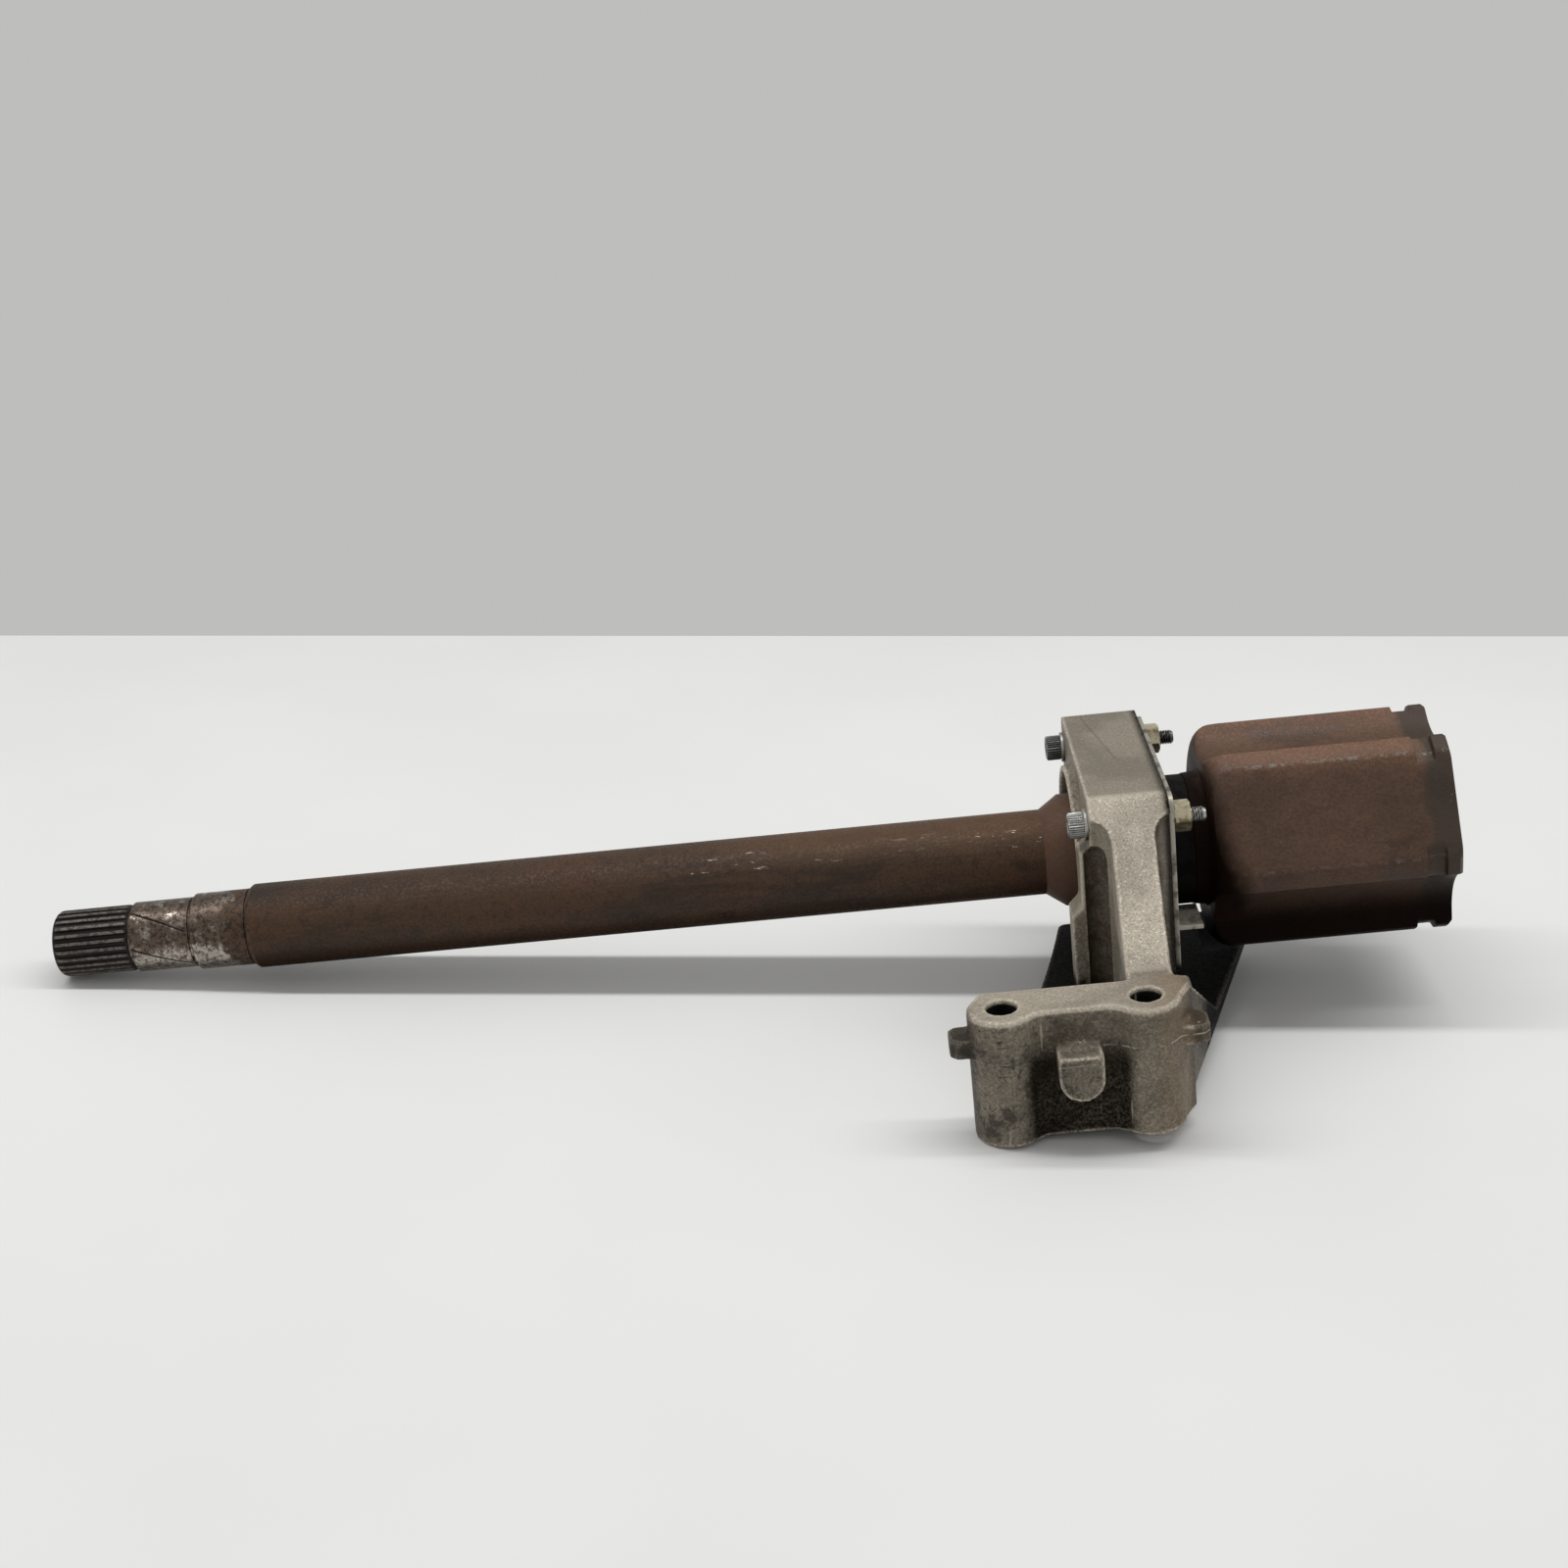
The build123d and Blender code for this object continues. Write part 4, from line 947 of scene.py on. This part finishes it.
class SHAFT_OT_fasteners(bpy.types.Operator):
    """Clamp screws with knurled heads, their washers and nuts"""

    bl_idname = "drive_shaft.fasteners"
    bl_label = "Clamp Fasteners"

    def execute(self, context):
        part = context.scene.drive_fasteners
        dark = context.scene.drive_bracket.grime_and_shade
        earth = tinted(context.scene.drive_bracket.earth, 0.6)
        # Painted shade: the rear screw gets a darker copy of the screw steel.
        shade = tinted(part.steel, 0.32)
        steel = {
            "front": finish_named("screw_steel", worn_metal, part.steel, dark, 0.8, 0.28, 0.25),
            "rear": finish_named("dull_screw_steel", worn_metal, shade, dark, 0.8, 0.28, 0.25),
        }
        zinc = finish_named("yellow_zinc", worn_metal, part.zinc, earth, 0.7, 0.26, 0.8)
        plated = finish_named("washer_steel", worn_metal, part.washer, dark, 0.7, 0.35, 0.3)
        socket, socket_mouth = hexagon(part.socket), hexagon(part.socket + 0.7 * MM)
        six = hexagon(part.nut_flats)
        knurl_depth = 0.4 * MM

        def knurled(angle):
            return part.head - knurl_depth * (0.5 + 0.5 * math.cos(angle * part.knurls))

        def threaded(x):
            def radius(angle):
                turn = (x / part.pitch - angle / FULL_TURN) % 1.0
                return part.shank - part.thread_depth * (1 - abs(2 * turn - 1))
            return radius

        def nut_ring(reach):
            return lambda angle: soft_least(six(angle), reach, 0.3 * MM)

        for side in ("rear", "front"):
            low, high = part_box(f"clamp_screw_{side}")
            washer_low, washer_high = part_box(f"clamp_washer_{side}")
            nut_low, nut_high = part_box(f"clamp_nut_{side}")
            centre = ((low.y + high.y) / 2, (low.z + high.z) / 2)

            # The screw: socket, knurled head, shank and thread
            head_end, socket_floor, thread_end = washer_low.x, low.x + 3 * MM, high.x - 0.8 * MM
            rings = [(socket_floor, 0.4 * MM), (socket_floor, socket), (low.x + 0.3 * MM, socket)]
            rings += [(low.x, socket_mouth), (low.x, part.head - 0.8 * MM)]
            rings += [(low.x + 0.25 * MM, part.head - 0.35 * MM), (low.x + 0.7 * MM, knurled)]
            rings += [(head_end - 0.5 * MM, knurled), (head_end, part.head - knurl_depth)]
            rings += [(head_end, part.shank), (nut_low.x, part.shank)]
            rings += [(x, threaded(x)) for x in spaced(nut_low.x + 0.2 * MM, thread_end, 72)]
            rings += [(high.x, part.shank - 0.9 * MM)]
            finish_piece(
                swept_rings(rings, 160, centre), f"screw_{side}", "bracket", steel[side],
                f"clamp_screw_{side}", 30,
            )

            # The washer
            hole = part.shank + 0.1 * MM
            rim = (washer_high.z - washer_low.z) / 2
            rings = rounded_ends(washer_low.x, washer_high.x, rim, 0.25 * MM)
            rings = [(washer_low.x, hole)] + rings + [(washer_high.x, hole)]
            finish_piece(
                swept_rings(rings, 64, centre, closed=True), f"washer_{side}", "bracket", plated,
                f"clamp_washer_{side}",
            )

            # The nut, its corners cut back at both ends
            bore, face, edge = part.shank - part.thread_depth * 0.4, part.nut_flats / 2, 0.5 * MM
            end_ring, full_ring = nut_ring(face - 0.1 * MM), nut_ring(face + 0.75 * MM)
            rings = [(nut_low.x, bore), (nut_low.x, end_ring), (nut_low.x + edge, full_ring)]
            rings += [(nut_high.x - edge, full_ring), (nut_high.x, end_ring)]
            rings += [(nut_high.x, part.shank + 0.25 * MM), (nut_high.x - edge, bore)]
            finish_piece(
                swept_rings(rings, 120, centre, closed=True), f"nut_{side}", "bracket", zinc,
                f"clamp_nut_{side}", 25,
            )
        return {"FINISHED"}


class SHAFT_OT_stage(bpy.types.Operator):
    """Table, lamps, background and camera"""

    bl_idname = "drive_shaft.stage"
    bl_label = "Studio Stage"

    def execute(self, context):
        scene = context.scene
        studio = scene.drive_studio
        up = Vector((math.sin(studio.rise), 0, math.cos(studio.rise)))
        along = Vector((up.z, 0, -up.x))
        turn = Matrix((along, Vector((0, 1, 0)), up)).transposed().to_4x4()
        self.lay_table(scene, studio, turn, up)
        self.light(scene, studio, turn, up)
        self.aim_camera(scene, studio, up)
        scene.view_settings.view_transform = "Standard"
        return {"FINISHED"}

    def lay_table(self, scene, studio, turn, up):
        """A table top that the spline's end nearly touches."""
        half, gap = 3.0, 0.4 * MM
        touch = Vector((2 * MM, 0, -scene.drive_shaft.tooth_tip))
        middle = touch + Vector((0, studio.table_back - half, 0)) - up * gap
        mesh = bmesh.new()
        bmesh.ops.create_grid(mesh, x_segments=1, y_segments=1, size=half)
        bmesh.ops.transform(mesh, matrix=turn, verts=mesh.verts)
        bmesh.ops.translate(mesh, verts=mesh.verts, vec=middle)
        data = bpy.data.meshes.new("table")
        mesh.to_mesh(data)
        mesh.free()
        table = bpy.data.objects.new("table", data)
        scene.collection.objects.link(table)
        data.materials.append(painted_board("table", studio))

    def light(self, scene, studio, turn, up):
        """One long lamp overhead, an even fill, and the wall that the camera sees."""
        lamp = bpy.data.lights.new("overhead_lamp", "AREA")
        lamp.shape = "RECTANGLE"
        lamp.size, lamp.size_y = studio.lamp_length, studio.lamp_width
        lamp.energy = studio.lamp_power
        below_lamp = Vector((0.35, 0.02, 0))
        overhead = bpy.data.objects.new("overhead_lamp", lamp)
        overhead.matrix_world = Matrix.Translation(below_lamp + up * studio.lamp_height) @ turn
        scene.collection.objects.link(overhead)

        world = bpy.data.worlds.new("studio")
        scene.world = world
        world.use_nodes = True
        wires = Nodes(world.node_tree)
        fill = world.node_tree.nodes["Background"]
        wires.feed(fill.inputs["Color"], (1.0, 1.0, 1.0, 1.0))
        wires.feed(fill.inputs["Strength"], studio.fill)
        wall = wires.node("Background", {"Color": (*studio.wall, 1.0), "Strength": 1.0})
        path = wires.node("LightPath").outputs
        seen = wires.most(path["Is Camera Ray"], path["Is Glossy Ray"], path["Is Transmission Ray"])
        inputs = {"Fac": seen, 1: fill.outputs["Background"], 2: wall.outputs["Background"]}
        mix = wires.node("MixShader", inputs)
        wires.feed(world.node_tree.nodes["World Output"].inputs["Surface"], mix.outputs["Shader"])

    def aim_camera(self, scene, studio, up):
        """A camera that stands level with the table."""
        camera = bpy.data.cameras.new("camera")
        camera.sensor_width = 36.0
        camera.lens = studio.lens
        holder = bpy.data.objects.new("camera", camera)
        level = Matrix.Rotation(studio.yaw, 3, up) @ Vector((0, 1, 0))
        forward = level * math.cos(studio.pitch) - up * math.sin(studio.pitch)
        right = forward.cross(up).normalized()
        aim = Matrix((right, right.cross(forward), -forward)).transposed().to_4x4()
        holder.matrix_world = Matrix.Translation(studio.camera_place) @ aim
        scene.collection.objects.link(holder)
        scene.camera = holder


class SHAFT_PT_panel(bpy.types.Panel):
    """Lists the operators and their settings"""

    bl_idname = "SHAFT_PT_panel"
    bl_label = "Drive Shaft"
    bl_space_type = "VIEW_3D"
    bl_region_type = "UI"
    bl_category = "Drive Shaft"

    def draw(self, context):
        for operator in OPERATORS:
            self.layout.operator(operator.bl_idname)
        for holder in SETTINGS:
            box = self.layout.box()
            settings = getattr(context.scene, holder)
            for name in settings.__annotations__:
                box.prop(settings, name)


OPERATORS = (
    SHAFT_OT_stub,
    SHAFT_OT_bar,
    SHAFT_OT_tripod_housing,
    SHAFT_OT_bearing,
    SHAFT_OT_bracket,
    SHAFT_OT_fasteners,
    SHAFT_OT_stage,
)
SETTINGS = {
    "drive_shaft": ShaftSettings,
    "drive_housing": HousingSettings,
    "drive_fasteners": FastenerSettings,
    "drive_bracket": BracketSettings,
    "drive_studio": StudioSettings,
}


def register():
    for made in (*SETTINGS.values(), *OPERATORS, SHAFT_PT_panel):
        bpy.utils.register_class(made)
    for holder, group in SETTINGS.items():
        setattr(bpy.types.Scene, holder, bpy.props.PointerProperty(type=group))


def unregister():
    for holder in SETTINGS:
        delattr(bpy.types.Scene, holder)
    for made in reversed((*SETTINGS.values(), *OPERATORS, SHAFT_PT_panel)):
        bpy.utils.unregister_class(made)


def main():
    register()
    for operator in OPERATORS:
        group, name = operator.bl_idname.split(".")
        getattr(getattr(bpy.ops, group), name)()
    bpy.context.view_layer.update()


if __name__ == "__main__":
    main()
